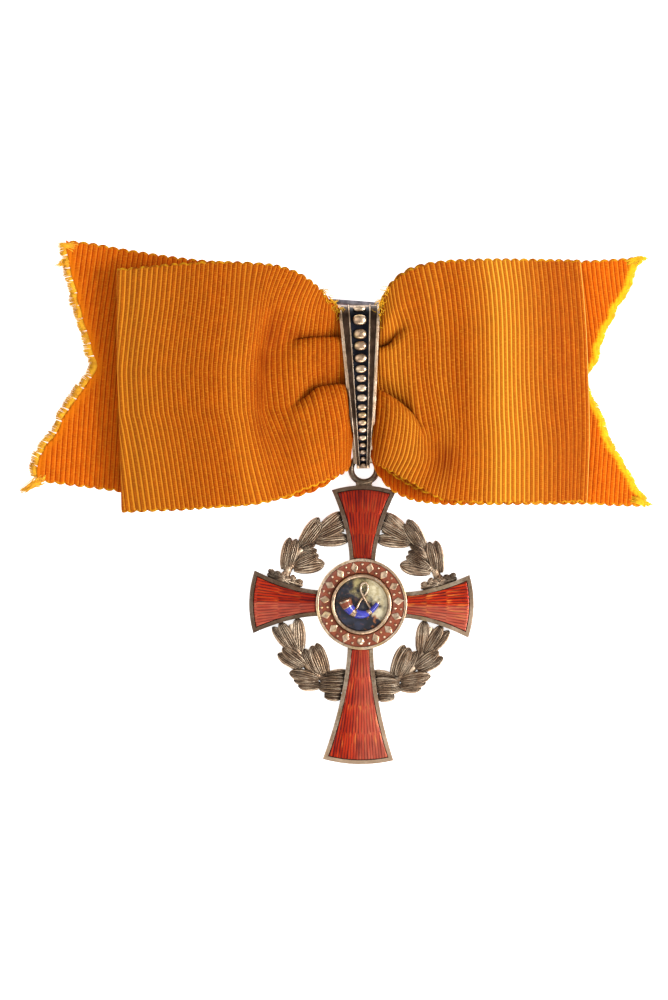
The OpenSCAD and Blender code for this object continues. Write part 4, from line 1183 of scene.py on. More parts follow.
class BADGE_OT_tails(bpy.types.Operator):
    """The two swallow-tailed ends behind the loops, with their frayed cuts"""

    bl_idname = "badge.tails"
    bl_label = "Tails"

    def execute(self, context):
        ribbon = settings()[0]
        chance = np.random.default_rng(11)
        for name, table, cut, side, ragged, frayed, tone, tufts in TAILS:
            thread = ribbon.faded_strand if side < 0 else ribbon.strand_color
            ribs, points = grid_rows(table, (0.0, 0.5, 1.0), TAIL_LINES)
            at = np.arange(ribs[0], ribs[-1], 1 / ROWS_A_RIB)
            points = smooth_table(ribs, points, at)
            last = cut_rows(points, cut, side)
            last = last + np.repeat(chance.uniform(-1, 1, len(last) // 2 + 1), 2)[: len(last)] * ragged
            last = np.clip(last, 1, len(at) - 1)
            inside = np.maximum(0, last[None, :] - np.arange(len(at))[:, None])
            inside = inside / ROWS_A_RIB * ribbon.rib_pitch / MM
            edge = held_rows(points, last)[-1]
            inside *= np.cos(np.arctan2(np.gradient(edge[:, 0]), np.gradient(edge[:, 1])))[None, :]
            shaded = 0.7 * np.exp(-((at / 16) ** 2))  # painted shade under the loops
            marks = {
                "glow": np.zeros(1), "dull": shaded[:, None] * np.ones(len(TAIL_LINES)),
                "fray": held_rows(np.exp(-((inside / frayed) ** 2)), last),
            }
            numbers = np.repeat(at[:, None], len(TAIL_LINES), axis=1)
            skins = ribbon_skins(numbers, points, TAIL_LINES, side, ribbon)
            skins = [held_rows(skin, last) for skin in skins]
            tail = ribbon_object(name, skins, held_rows(numbers, last), TAIL_LINES, ribbon, marks)
            color, groove = (shade(c, tone) for c in (ribbon.tail_color, ribbon.tail_groove))
            loosened = ribbon.loosened if side < 0 else shade(thread, 0.86)
            silk = ribbed_silk(name + "_silk", color, groove, ribbon, side, loosened)
            hand_over(tail, silk, ["ribbon_tails"], 180)
            strands = frayed_strands(points, last, side, tufts, chance) + wisps(side, chance)
            fringe = strands_object(name + "_strands", strands, TAIL_THREAD)
            hand_over(fringe, loose_silk(name + "_threads", thread), (), 180)
        return {"FINISHED"}


def frayed_strands(points, last, side, tufts, chance):
    """Bare threads that stand out of a cut: in leaning tufts on the left tail, evenly on the right."""
    pitch, gap, run = tufts
    cut = held_rows(points, last)[-1]
    far = np.concatenate([[0], np.cumsum(np.linalg.norm(np.diff(cut[:, :2], axis=0), axis=1))])
    notch = far[np.argmin(side * cut[:, 0])]
    strands = []
    for at in np.arange(0.05, far[-1] - 0.05, 0.032):
        tuft, share = divmod(at - notch + 40 * pitch, pitch)  # counted from 40 tufts before the notch
        share /= pitch
        if share > 1 - gap:
            continue
        place_across = 2 * share / (1 - gap) - 1
        foot = np.array([np.interp(at, far, cut[:, k]) for k in range(3)])
        j = min(int(np.searchsorted(far, at)), len(last) - 1)
        i = int(min(last[j], len(points) - 2.0))
        beyond = points[i + 1, j] - points[max(i - 3, 0), j]
        beyond = beyond / np.linalg.norm(beyond)
        toward = -1 if at > notch else 1
        lean = 0.42 * toward if side < 0 else -0.1 * toward
        tuft_chance = math.sin(tuft * 12.9898) * 43758.5453 % 1.0
        lean += 0.25 * (tuft_chance - 0.5) + 0.22 * place_across * (side < 0) + chance.normal(0, 0.07)
        reach = run * (0.85 + 0.3 * tuft_chance) * chance.uniform(0.86, 1.1) * (1 - 0.14 * place_across**2)
        over = np.array([-beyond[1], beyond[0], 0])
        over = over * (1 if over[1] > 0 else -1)
        rise = chance.uniform(-0.06, 0.1)
        strands.append([
            foot + beyond * (s * (reach + 0.5) - 0.5) + over * lean * reach * s + np.array([0, 0, rise * s])
            for s in (0.0, 0.5, 1.0)
        ])
    return strands


def wisps(side, chance):
    """The long loose threads at the tips of a tail."""
    strands = []
    for which, x0, y0, x1, y1, sag, count in WISPS:
        if which != side:
            continue
        for _ in range(count):
            root = np.array([*on_grid(x0, y0), 0.5]) + chance.normal(0, (0.45, 0.3, 0.08))
            tip = np.array([*on_grid(x1, y1), 0.45]) + chance.normal(0, (0.4, 0.22, 0.1))
            bend = np.array([0, sag * chance.uniform(0.4, 1.3), 0.15])
            strands.append([
                root + (tip - root) * s + bend * math.sin(math.pi * s) for s in (0, 0.25, 0.5, 0.75, 1)
            ])
    return strands


def loose_threads(edge, chance):
    """Short curled threads along a frayed edge."""
    line = np.array([(*on_grid(x, y), z) for x, y, z in edge])
    strands = []
    for _ in range(LOOSE_THREADS):
        t = chance.uniform(0, len(line) - 1.001)
        foot = line[int(t)] + (line[int(t) + 1] - line[int(t)]) * (t % 1) + chance.normal(0, 0.16, 3)
        way = math.atan2(*(line[-1] - line[0])[1::-1]) + chance.normal(0, 0.9)
        run, curl = chance.uniform(0.5, 1.5), chance.normal(0, 0.35)
        strands.append([
            foot + (
                run * s * math.cos(way) - curl * math.sin(math.pi * s) * math.sin(way),
                run * s * math.sin(way) + curl * math.sin(math.pi * s) * math.cos(way),
                0.3 * math.sin(math.pi * s),
            )
            for s in (0.0, 0.25, 0.5, 0.75, 1.0)
        ])
    return strands


# Bail: a strap laid round its outline, seen from the side, then tapered
BAIL_LOW, BAIL_HIGH = (5.2, 2.0), (30.6, 6.1)  # place along Y, width of the strap there
BAIL_FRONT_Z, BAIL_BACK_Z, BAIL_FLOOR_Z, BAIL_WALL = 8.6, 2.5, 0.15, 0.65
BAIL_TOP_R = (BAIL_FRONT_Z - BAIL_BACK_Z) / 2
BAIL_TOP_Y, BAIL_TOP_Z = BAIL_HIGH[0] - BAIL_TOP_R, BAIL_BACK_Z + BAIL_TOP_R
EYE_R, EYE_SLOPE = 1.4, math.radians(40)
EYE_SLOPE_END_Y = 12.8  # the beads up to here lie on the eye's slope
BAIL_TURN, BAIL_MIDDLE = 1.5, 18.0
# Columns across half the strap, as shares of its half width, and where each lies: 0 on the surface,
# 1 in a flute, 2 in the channel
STRAP_COLUMNS = (
    (1.0, 0.0), (0.925, 0.0), (0.885, 1.0), (0.61, 1.0), (0.575, 0.0), (0.515, 0.0), (0.475, 2.0),
)
FLUTE_DEPTH, CHANNEL_DEPTH = 0.26, 0.42
# The strap's front lies over the first height, or over the second one up to the end of the eye
FRONT_OVER_Z, EYE_OVER_Z, EYE_END_Y = 5.4, 2.3, 12.0
# Place along Y, half width and half height of the beads down the channel
BEADS = (
    (29.85, 0.88, 0.46), (28.09, 1.00, 0.82), (25.90, 0.96, 0.79), (24.09, 0.93, 0.72), (22.17, 0.92, 0.68),
    (20.51, 0.85, 0.62), (19.05, 0.80, 0.58), (17.56, 0.79, 0.57), (16.04, 0.77, 0.56), (14.59, 0.71, 0.50),
    (13.41, 0.66, 0.45), (12.25, 0.62, 0.43), (11.16, 0.60, 0.41), (9.95, 0.58, 0.42), (8.84, 0.51, 0.38),
    (7.78, 0.45, 0.36), (6.74, 0.39, 0.34), (5.77, 0.36, 0.30),
)


def strap_outline():
    """The strap's outer side as y and z, from the back round the eye to the front and over the top."""
    eye_y, eye_z = BAIL_LOW[0] + EYE_R, BAIL_FLOOR_Z + EYE_R
    foot = (eye_y - EYE_R * math.sin(EYE_SLOPE), eye_z + EYE_R * math.cos(EYE_SLOPE))
    corner = foot[0] + (BAIL_FRONT_Z - foot[1]) / math.tan(EYE_SLOPE)
    points = [(20.0, BAIL_BACK_Z), (13.5, BAIL_BACK_Z), (12.2, 1.9), (10.8, 0.85), (9.5, BAIL_FLOOR_Z)]
    for k in range(11):
        a = math.radians(-90 - 14 * k)
        points.append((eye_y + EYE_R * math.cos(a), eye_z + EYE_R * math.sin(a)))
    for t in (0.12, 0.3, 0.5, 0.7, 0.86):
        points.append((foot[0] + (corner - foot[0]) * t, foot[1] + (BAIL_FRONT_Z - foot[1]) * t))
    for y in np.linspace(corner + 0.5, BAIL_TOP_Y, 12):
        points.append((float(y), BAIL_FRONT_Z - 0.12 * max(0.0, 1 - (y - corner) / 1.2) ** 2))
    for k in range(1, 13):
        a = math.radians(90 - 15 * k)
        points.append((BAIL_TOP_Y + BAIL_TOP_R * math.cos(a), BAIL_TOP_Z + BAIL_TOP_R * math.sin(a)))
    return points


def strap_top(y):
    """Height of the strap's front at a place along it."""
    if y > BAIL_TOP_Y:
        return BAIL_TOP_Z + math.sqrt(max(0.0, BAIL_TOP_R**2 - (y - BAIL_TOP_Y) ** 2))
    foot_y = BAIL_LOW[0] + EYE_R - EYE_R * math.sin(EYE_SLOPE)
    foot_z = BAIL_FLOOR_Z + EYE_R + EYE_R * math.cos(EYE_SLOPE)
    return min(BAIL_FRONT_Z, foot_z + (y - foot_y) * math.tan(EYE_SLOPE))


def strap_half(y):
    """Half the strap's width at a place along it."""
    t = (y - BAIL_LOW[0]) / (BAIL_HIGH[0] - BAIL_LOW[0])
    return (BAIL_LOW[1] + (BAIL_HIGH[1] - BAIL_LOW[1]) * t) / 2


def is_sunk(face, hollow, front):
    """Whether a face of the strap's front has a corner in a hollow."""
    corners = {v.index for v in face.verts}
    return bool(corners & hollow) and corners <= front


class BADGE_OT_bail(bpy.types.Operator):
    """The strap that clasps the bow, with its rims, flutes and row of beads"""

    bl_idname = "badge.bail"
    bl_label = "Bail"

    def execute(self, context):
        metal = settings()[1]
        gilt = old_gilt("bail_gilt", metal, 0.0005, 0.8, tone=1.05)
        outline = strap_outline()
        columns = [(-share, depth) for share, depth in STRAP_COLUMNS] + list(reversed(STRAP_COLUMNS))
        strap = begin(
            bpy.ops.mesh.primitive_grid_add, "bail_strap",
            x_subdivisions=len(columns) - 1, y_subdivisions=len(outline) - 1, size=2,
        )
        across, along = rows_of(0), rows_of(1)
        for (share, _), column in zip(columns, across):
            first = pick_numbers(column)
            slide(x=share - first.x)
        for (y, z), row in zip(outline, along):
            first_y = pick_numbers(row).y
            scale(x=strap_half(y))
            slide(y=y - first_y, z=z)
        front = {
            i for (y, z), row in zip(outline, along)
            if z > FRONT_OVER_Z or (y < EYE_END_Y and z > EYE_OVER_Z) for i in row
        }
        flutes, channel = (
            {i for (_, depth), column in zip(columns, across) if depth == which for i in column} & front
            for which in (1, 2)
        )
        everything()
        bpy.ops.mesh.normals_make_consistent(inside=False)
        shape = bmesh.from_edit_mesh(strap.data)
        if sum(f.normal.z * f.calc_area() for f in shape.faces if middle(f).z > BAIL_FRONT_Z - 0.6) < 0:
            bpy.ops.mesh.flip_normals()
        black = blackened_metal("bail_black", metal.black)
        bronze = blackened_metal("bail_bronze", metal.bronze)
        for finish in (gilt, black, bronze):
            strap.data.materials.append(finish)
        for hollow, depth, number in ((channel, CHANNEL_DEPTH, 1), (flutes, FLUTE_DEPTH, 2)):
            pick("faces", lambda f: is_sunk(f, hollow, front))
            strap.active_material_index = number
            bpy.ops.object.material_slot_assign()
            pick_numbers(hollow)
            bpy.ops.transform.shrink_fatten(value=-depth)
        everything()
        bpy.ops.mesh.remove_doubles(threshold=0.001)
        only(shut())
        wall = strap.modifiers.new("wall", "SOLIDIFY")
        wall.thickness, wall.offset, wall.use_even_offset = BAIL_WALL, -1, True
        bpy.ops.object.modifier_apply(modifier="wall")
        soften(strap, 0.06, 2, 30)
        bead = begin(bpy.ops.mesh.primitive_cube_add, "bail_bead", size=2)
        bpy.ops.mesh.subdivide(number_cuts=5, smoothness=0.8)
        reach = max(v.co.x for v in bmesh.from_edit_mesh(bead.data).verts)
        scale(1 / reach, 1 / reach, 1 / reach)
        shut()
        beads = []
        for y, wide, high in BEADS:
            lift = 0.12 if y < EYE_SLOPE_END_Y else 0.0
            at = (0, y, strap_top(y) - CHANNEL_DEPTH + lift)
            beads.append(copy_of(bead, at, 0, (1.12 * wide, 1.03 * high, 0.6 * high + 0.12)))
        beads = joined("bail_beads", beads)
        discard(bead)
        for piece in (strap, beads):
            place(piece, (0, -BAIL_MIDDLE, 0))
            put(piece, (BAIL_X * MM, BAIL_MIDDLE * MM, 0), BAIL_TURN)
        hand_over(strap, None, ["bail"])
        bright = old_gilt("bead_gilt", metal, 0.0005, 0.9, tone=1.2, yellow=0.35)
        hand_over(beads, bright, ["bail"])
        return {"FINISHED"}


# Brooch bar, straight on the bench: its size, the height of its middle, place and length of its feet;
# then its place behind the bow
BAR_SIZE, BAR_Z, BAR_FEET_X, BAR_FEET_LONG = (26, 0.8, 0.9), 2.35, 12.0, 1.8
BAR_AT, BAR_TURN = (BAIL_X, 30.85, 0), -4.4
# The pin's wire: bends, radius at each
WIRE = (
    (-12.4, 0, 0.9, 0.4), (-12.6, 0, 0.5, 0.4), (-11.5, 0, 0.42, 0.38), (0, 0, 0.4, 0.36),
    (11.8, 0, 0.42, 0.34), (12.9, 0, 0.6, 0.12),
)


class BADGE_OT_pin(bpy.types.Operator):
    """The brooch bar behind the bow and its pin"""

    bl_idname = "badge.pin"
    bl_label = "Brooch pin"

    def execute(self, context):
        steel = drawn_steel("pin_steel")
        bar = begin(bpy.ops.mesh.primitive_cube_add, "brooch_bar", size=1, location=(0, 0, BAR_Z))
        scale(*BAR_SIZE, (0, 0, BAR_Z))
        for x in (-BAR_FEET_X, -6.0, 6.0, BAR_FEET_X):
            everything()
            bpy.ops.mesh.bisect(plane_co=(x, 0, 0), plane_no=(1, 0, 0))
        pick("verts", lambda v: abs(v.co.x) > BAR_FEET_X + 0.5)
        scale(y=0.7, z=0.8, about=(0, 0, BAR_Z))
        pick("faces", lambda f: f.normal.z < -0.5 and abs(middle(f).x) > BAR_FEET_X - 0.1)
        pull(z=-BAR_FEET_LONG)
        shut()
        soften(bar, 0.12, 3)
        wire = rod("brooch_wire", [bend[:3] for bend in WIRE], [bend[3] for bend in WIRE])
        for piece in (bar, wire):
            place(piece, BAR_AT, BAR_TURN)
            hand_over(piece, steel, ["brooch_pin"])
        return {"FINISHED"}


# Cross, all of it on the bench round the medallion's middle
CROSS_AT, CROSS_TURN = (3.5, -15.9, 0.0), -1.2
PLATE_Z = 0.3  # back of the plate
ROOT_R, ROOT_HALF, ARM_CURVE = 6.7, 2.0, 1.75  # where an arm starts, its half width there, how it widens
HUB_R, BEZEL_R, DISC_R = 7.1, 4.7, 4.15
RAY_STEPS_IN = 4  # steps of the cut ground between the cross's middle and the first one in a cell
GLASS_IN, GLASS_LOW, GLASS_CROWN = 0.13, 0.12, 0.07  # the enamel, from its cell's wall and rim
# Arms: name, length, half width at the end, rise of the rounded end, turn, and the cut ground: its
# first step, distance between steps, lit side, softness of its edge, painted sheen on the lit side,
# painted glints, brightness
ARMS = (
    ("top", 18.5, 5.0, 0.85, 0, (10.97, 3.4, 1, 2.4, 0.12, 0.2, 0.72)),
    ("left", 17.5, 4.9, 0.75, 90, (9.65, 3.35, -1, 0.25, 0.7, 0.25, 0.86)),
    ("bottom", 24.95, 5.5, 0.7, 180, (11.5, 4.35, -1, 2.4, 0.9, 0.4, 0.98)),
    ("right", 17.5, 4.9, 0.75, -90, (10.15, 3.2, 1, 0.25, 0.95, 0.7, 1.05)),
)


class BADGE_OT_arms(bpy.types.Operator):
    """The four bordered arms of the cross, each with its cell of clear red enamel"""

    bl_idname = "badge.arms"
    bl_label = "Arms"

    def execute(self, context):
        _, metal, enamel, _ = settings()
        gilt = old_gilt("arm_gilt", metal, 0.0007, 1.1, tone=0.8, yellow=0.2, lean=True)
        for name, far, half, rise, turn, cut in ARMS:
            arm = begin(
                bpy.ops.mesh.primitive_grid_add, "arm_" + name, x_subdivisions=8, y_subdivisions=14, size=2
            )
            across, along = rows_of(0), rows_of(1)
            start = ROOT_R - 0.3
            for k, row in enumerate(along):
                t = k / (len(along) - 1)
                pick_numbers(row)
                scale(x=ROOT_HALF + (half - ROOT_HALF) * t**ARM_CURVE)
                slide(y=start + (far - rise - start) * t - (2 * t - 1))
            for k, column in enumerate(across):
                x = 2 * k / (len(across) - 1) - 1
                for row, share in ((along[-1], 1.0), (along[-2], 0.6), (along[-3], 0.25)):
                    pick_numbers(row & column)
                    slide(y=rise * share * (1 - x * x))
            everything()
            slide(z=PLATE_Z)
            pull(z=metal.plate / MM)
            tidy_faces()
            pick("faces", lambda f: f.normal.z > 0.5)
            bpy.ops.mesh.inset(thickness=metal.border / MM * 0.86, depth=0, use_even_offset=True)
            pull(z=-metal.cell / MM)
            floor = PLATE_Z + metal.plate / MM - metal.cell / MM
            pick("faces", lambda f: f.normal.z > 0.9 and abs(middle(f).z - floor) < 0.01)
            bpy.ops.mesh.duplicate()
            bpy.ops.mesh.separate(type="SELECTED")
            shut()
            glass = next(o for o in bpy.context.selected_objects if o != arm)
            glass.name = glass.data.name = "glass_" + name
            soften(arm, 0.27, 3)
            open_up(glass)
            bpy.ops.mesh.inset(thickness=GLASS_IN, depth=0, use_even_offset=True)
            bpy.ops.mesh.select_all(action="INVERT")
            bpy.ops.mesh.delete(type="FACE")
            everything()
            pull(z=metal.cell / MM - GLASS_LOW)
            tidy_faces()
            rim = metal.cell / MM - GLASS_LOW + floor
            shape = bmesh.from_edit_mesh(glass.data)
            outer = {v.index for f in shape.faces if abs(f.normal.z) < 0.5 for v in f.verts}
            pick("verts", lambda v: v.index not in outer and v.co.z > rim - 0.05)
            slide(z=GLASS_CROWN)
            shut()
            soften(glass, 0.07, 2)
            settle(arm, turn)
            settle(glass, turn)
            hand_over(arm, gilt, ["cross_frame"])
            red = cut_ground_enamel("red_" + name, enamel, turn + CROSS_TURN, cut)
            hand_over(glass, red, ["enamel_" + name])
        return {"FINISHED"}


def settle(piece, turn=0.0):
    """Brings a piece of the cross from the bench, turned as asked, to the cross's place."""
    place(piece, turn=turn)
    put(piece, tuple(c * MM for c in CROSS_AT), CROSS_TURN)


# Medallion: profiles of radius and height, from the rim inwards
AXIS_R = 0.0001  # as near the middle as a lathe goes
HUB = (
    (HUB_R, PLATE_Z), (HUB_R, 2.3), (HUB_R - 0.42, 2.3), (HUB_R - 0.42, 1.7), (BEZEL_R + 0.08, 1.7),
    (BEZEL_R, 2.75), (BEZEL_R - 0.12, 2.9), (DISC_R + 0.12, 2.9), (DISC_R, 2.72), (DISC_R - 0.05, 1.8),
    (AXIS_R, 1.8), (AXIS_R, 0.0), (BEZEL_R, 0.0), (BEZEL_R, PLATE_Z),
)
BAND = (
    (HUB_R - 0.46, 1.75), (HUB_R - 0.46, 2.1), (HUB_R - 0.7, 2.17), (5.75, 2.19), (BEZEL_R + 0.36, 2.17),
    (BEZEL_R + 0.15, 2.1), (BEZEL_R + 0.15, 1.75),
)
GROUND = ((DISC_R - 0.08, 1.85), (DISC_R - 0.1, 2.06), (3.2, 2.1), (AXIS_R, 2.1), (AXIS_R, 1.85))
BAND_MIDDLE_R = (HUB_R - 0.45 + BEZEL_R + 0.15) / 2
LOZENGE_Z, PELLET_Z, BOSS_Z, PELLET_OFF = 1.97, 2.16, 2.1, 0.46


class BADGE_OT_medallion(bpy.types.Operator):
    """The hub with its rims, the enamelled band, its ornaments and the sunk ground"""

    bl_idname = "badge.medallion"
    bl_label = "Medallion"

    def execute(self, context):
        _, metal, enamel, _ = settings()
        gilt = old_gilt("hub_gilt", metal, 0.0004, 0.8, tone=1.2, yellow=0.35)
        hub = lathe("hub", HUB)
        soften(hub, 0.07, 2)
        band = lathe("medallion_band", BAND)
        ground = lathe("medallion_ground", GROUND)
        lozenge = begin(
            bpy.ops.mesh.primitive_cylinder_add, "lozenge", vertices=4, radius=0.86, depth=0.6,
            location=(0, 0, LOZENGE_Z),
        )
        scale(y=0.72)
        pick("faces", lambda f: f.normal.z > 0.5)
        bpy.ops.mesh.inset(thickness=0.1, depth=0)
        slide(z=0.04)
        shut()
        soften(lozenge, 0.025, 1)
        pellet = begin(bpy.ops.mesh.primitive_uv_sphere_add, "pellet", segments=12, ring_count=8, radius=0.23)
        scale(z=0.9)
        pick("verts", lambda v: v.co.z < -0.05)
        slide(z=-0.25)
        shut()
        marks = []
        for k in range(metal.ornaments):
            turn = 360 * k / metal.ornaments - 90
            a = math.radians(turn)
            x, y = BAND_MIDDLE_R * math.cos(a), BAND_MIDDLE_R * math.sin(a)
            if k == 0:
                marks.append(copy_of(pellet, (x, y, BOSS_Z), 0, (2.8, 2.8, 1.5)))
            else:
                marks.append(copy_of(lozenge, (x, y, 0), turn))
            a += math.pi / metal.ornaments
            for off in (-PELLET_OFF, PELLET_OFF):
                r = BAND_MIDDLE_R + off
                marks.append(copy_of(pellet, (r * math.cos(a), r * math.sin(a), PELLET_Z)))
        marks = joined("band_ornaments", marks)
        discard(lozenge, pellet)
        for piece in (hub, band, ground, marks):
            settle(piece)
        hand_over(hub, gilt, ["cross_frame"])
        hand_over(marks, gilt, ["cross_frame"])
        brown = plain_enamel("band_enamel", enamel.band_color, 0.62)
        hand_over(band, brown, ["medallion_enamel"])
        hand_over(ground, sunk_ground("ground_enamel"), ["medallion_disc"])
        return {"FINISHED"}


# Horn: middle line from the bell to the mouthpiece, x, y and radius
HORN = (
    (-2.62, 0.62, 1.06), (-2.35, -0.02, 0.95), (-1.88, -0.72, 0.82), (-1.18, -1.34, 0.73),
    (-0.25, -1.66, 0.66), (0.75, -1.52, 0.56), (1.58, -0.98, 0.46), (2.20, -0.28, 0.36), (2.62, 0.38, 0.30),
)
HORN_Z, CORD_R = 2.16, 0.19
SHARES_ALONG = 120  # places along the horn that its faces are told apart by
MOUTH_END = 0.17  # share of its length up to which the bell shows its lining
# Bands of gilt round the horn, as shares of its length
HORN_BANDS = ((0.0, 0.03), (0.14, 0.17), (0.3, 0.39), (0.66, 0.74), (0.95, 1.0))
HORN_CORD = (
    (-0.95, -1.15, 0.5), (-0.55, -0.2, 0.3), (-0.05, 0.75, 0.16), (0.55, 1.4, 0.16), (0.98, 2.2, 0.16),
    (0.92, 3.0, 0.16), (0.45, 3.45, 0.16), (-0.08, 3.1, 0.16), (-0.22, 2.3, 0.16), (0.08, 1.5, 0.34),
    (0.5, 0.7, 0.34), (1.05, -0.1, 0.26), (1.45, -0.75, 0.5),
)


class BADGE_OT_horn(bpy.types.Operator):
    """The stringed horn in relief and its cord"""

    bl_idname = "badge.horn"
    bl_label = "Horn"

    def execute(self, context):
        _, metal, enamel, _ = settings()
        gilt = old_gilt("horn_gilt", metal, 0.0003, 0.7)
        points = [(x, y, HORN_Z + r * 0.92) for x, y, r in HORN]
        horn = rod("horn_body", points, [r for _, _, r in HORN], 5)
        line = np.array(points)
        far = np.concatenate([[0], np.cumsum(np.linalg.norm(np.diff(line, axis=0), axis=1))])
        shares = np.linspace(0, far[-1], SHARES_ALONG)
        dense = np.stack([np.interp(shares, far, line[:, k]) for k in range(3)], axis=1)
        open_up(horn)
        mouth = Vector(points[0])
        pick("faces", lambda f: len(f.verts) > 6 and (middle(f) - mouth).length < 0.4)
        bpy.ops.mesh.inset(thickness=0.12, depth=0)
        pull(x=0.08, y=-0.22)
        scale(0.6, 0.6, 0.6, tuple(mouth))
        shut()
        blue = plain_enamel("horn_blue", enamel.horn_color, 0.5)
        for finish in (blue, gilt, plain_enamel("horn_mouth", enamel.mouth_color, 0.4)):
            horn.data.materials.append(finish)
        for face in horn.data.polygons:
            nearest = np.argmin(np.linalg.norm(dense - np.array(face.center), axis=1))
            share = int(nearest) / (SHARES_ALONG - 1)
            inner = (face.center - mouth).length < 0.62 and share < 0.02
            banded = any(a <= share <= b for a, b in HORN_BANDS)
            face.material_index = 2 if inner or (share < MOUTH_END and not banded) else int(banded)
        radii = [CORD_R] * len(HORN_CORD)
        cord = rod("horn_loop", [(x, y, HORN_Z + z) for x, y, z in HORN_CORD], radii, 3)
        settle(horn)
        settle(cord)
        hand_over(horn, None, ["horn"])
        hand_over(cord, gilt, ["horn_cord"])
        return {"FINISHED"}


# Wreath's right-hand branch: foot x, y, tip x, y, width, level of each leaf
LEAVES = (
    (12.3, 5.1, 11.4, 10.0, 1.30, 0.30), (11.4, 5.6, 10.4, 9.8, 1.25, 0.50),
    (10.7, 5.3, 6.0, 6.2, 1.75, 0.35), (10.4, 5.9, 6.9, 7.5, 1.20, 0.55), (10.0, 6.8, 7.2, 8.3, 1.10, 0.40),
    (9.8, 8.7, 7.0, 13.2, 1.50, 0.30), (9.1, 8.8, 6.4, 12.5, 1.35, 0.55), (9.3, 8.4, 7.4, 9.3, 0.80, 0.70),
    (7.4, 10.3, 3.3, 14.1, 1.70, 0.30), (7.3, 10.1, 2.5, 12.6, 1.40, 0.60),
    (7.4, 9.6, 2.1, 10.2, 1.55, 0.45), (10.4, -7.7, 13.7, -4.0, 1.25, 0.30),
    (10.0, -7.5, 12.6, -3.2, 1.40, 0.55), (9.4, -7.7, 9.9, -2.5, 1.60, 0.40),
    (8.6, -9.7, 12.1, -7.2, 1.45, 0.60), (9.0, -10.3, 12.8, -8.1, 1.35, 0.35),
    (5.1, -11.3, 6.8, -6.4, 1.40, 0.30), (5.8, -11.1, 7.6, -6.8, 1.60, 0.60),
    (6.6, -11.2, 8.7, -7.3, 1.25, 0.40), (6.4, -11.8, 10.9, -11.0, 1.45, 0.60),
    (6.4, -12.2, 10.2, -12.1, 1.20, 0.45), (5.9, -12.8, 9.5, -13.0, 1.25, 0.30),
    (5.6, -11.4, 1.9, -10.7, 1.10, 0.35), (6.2, -12.2, 2.1, -12.0, 1.20, 0.65),
    (6.3, -13.2, 2.4, -13.3, 1.25, 0.50), (5.5, -14.4, 2.7, -14.5, 1.15, 0.30),
)
# Outline of a leaf: share of its length, share of its half width
LEAF_SHAPE = (
    (0.0, 0.42), (0.06, 0.58), (0.14, 0.76), (0.24, 0.9), (0.36, 0.98), (0.48, 1.04), (0.6, 1.04),
    (0.71, 0.98), (0.81, 0.85), (0.9, 0.64), (0.96, 0.4), (1.0, 0.12),
)
# A leaf against its row above: width, length and thickness; then the height of its ribs
LEAF_WIDER, LEAF_LONGER, LEAF_THICK, LEAF_RELIEF = 1.34, 1.03, 0.95, 0.5
# Height of a leaf's ribs and grooves, from its left edge to its right one, as shares of its relief
LEAF_RIBS = (0.0, 0.46, 0.72, 0.42, 0.9, 0.55, 1.1, 0.55, 0.9, 0.42, 0.72, 0.46, 0.0)
# Stems: x, y and radius of each bend; their tops lie level, under the leaves
STEMS = (
    ((11.9, 4.0, 0.65), (11.5, 5.6, 0.6), (9.6, 8.4, 0.5), (7.4, 10.0, 0.5), (3.0, 11.6, 0.42)),
    ((11.4, 5.4, 0.55), (9.6, 6.6, 0.5)),
    ((2.4, -12.4, 0.5), (5.9, -12.0, 0.62), (8.6, -9.6, 0.66), (9.8, -7.6, 0.6), (10.9, -3.4, 0.42)),
)
# Lumps of solder that join the branch to the side arm: x, y, radius
FEET = ((9.7, 3.3, 0.5), (10.7, 3.7, 0.6), (12.2, 4.2, 0.65), (13.3, 4.4, 0.6), (14.1, 4.7, 0.55))
FEET_TURN = 17
FEET_OUT, FEET_Y = (0.0121, 0.0132), 0.0039  # where their dark finish sets in, in metres
WREATH_Z, STEM_TOP = 0.65, 0.84


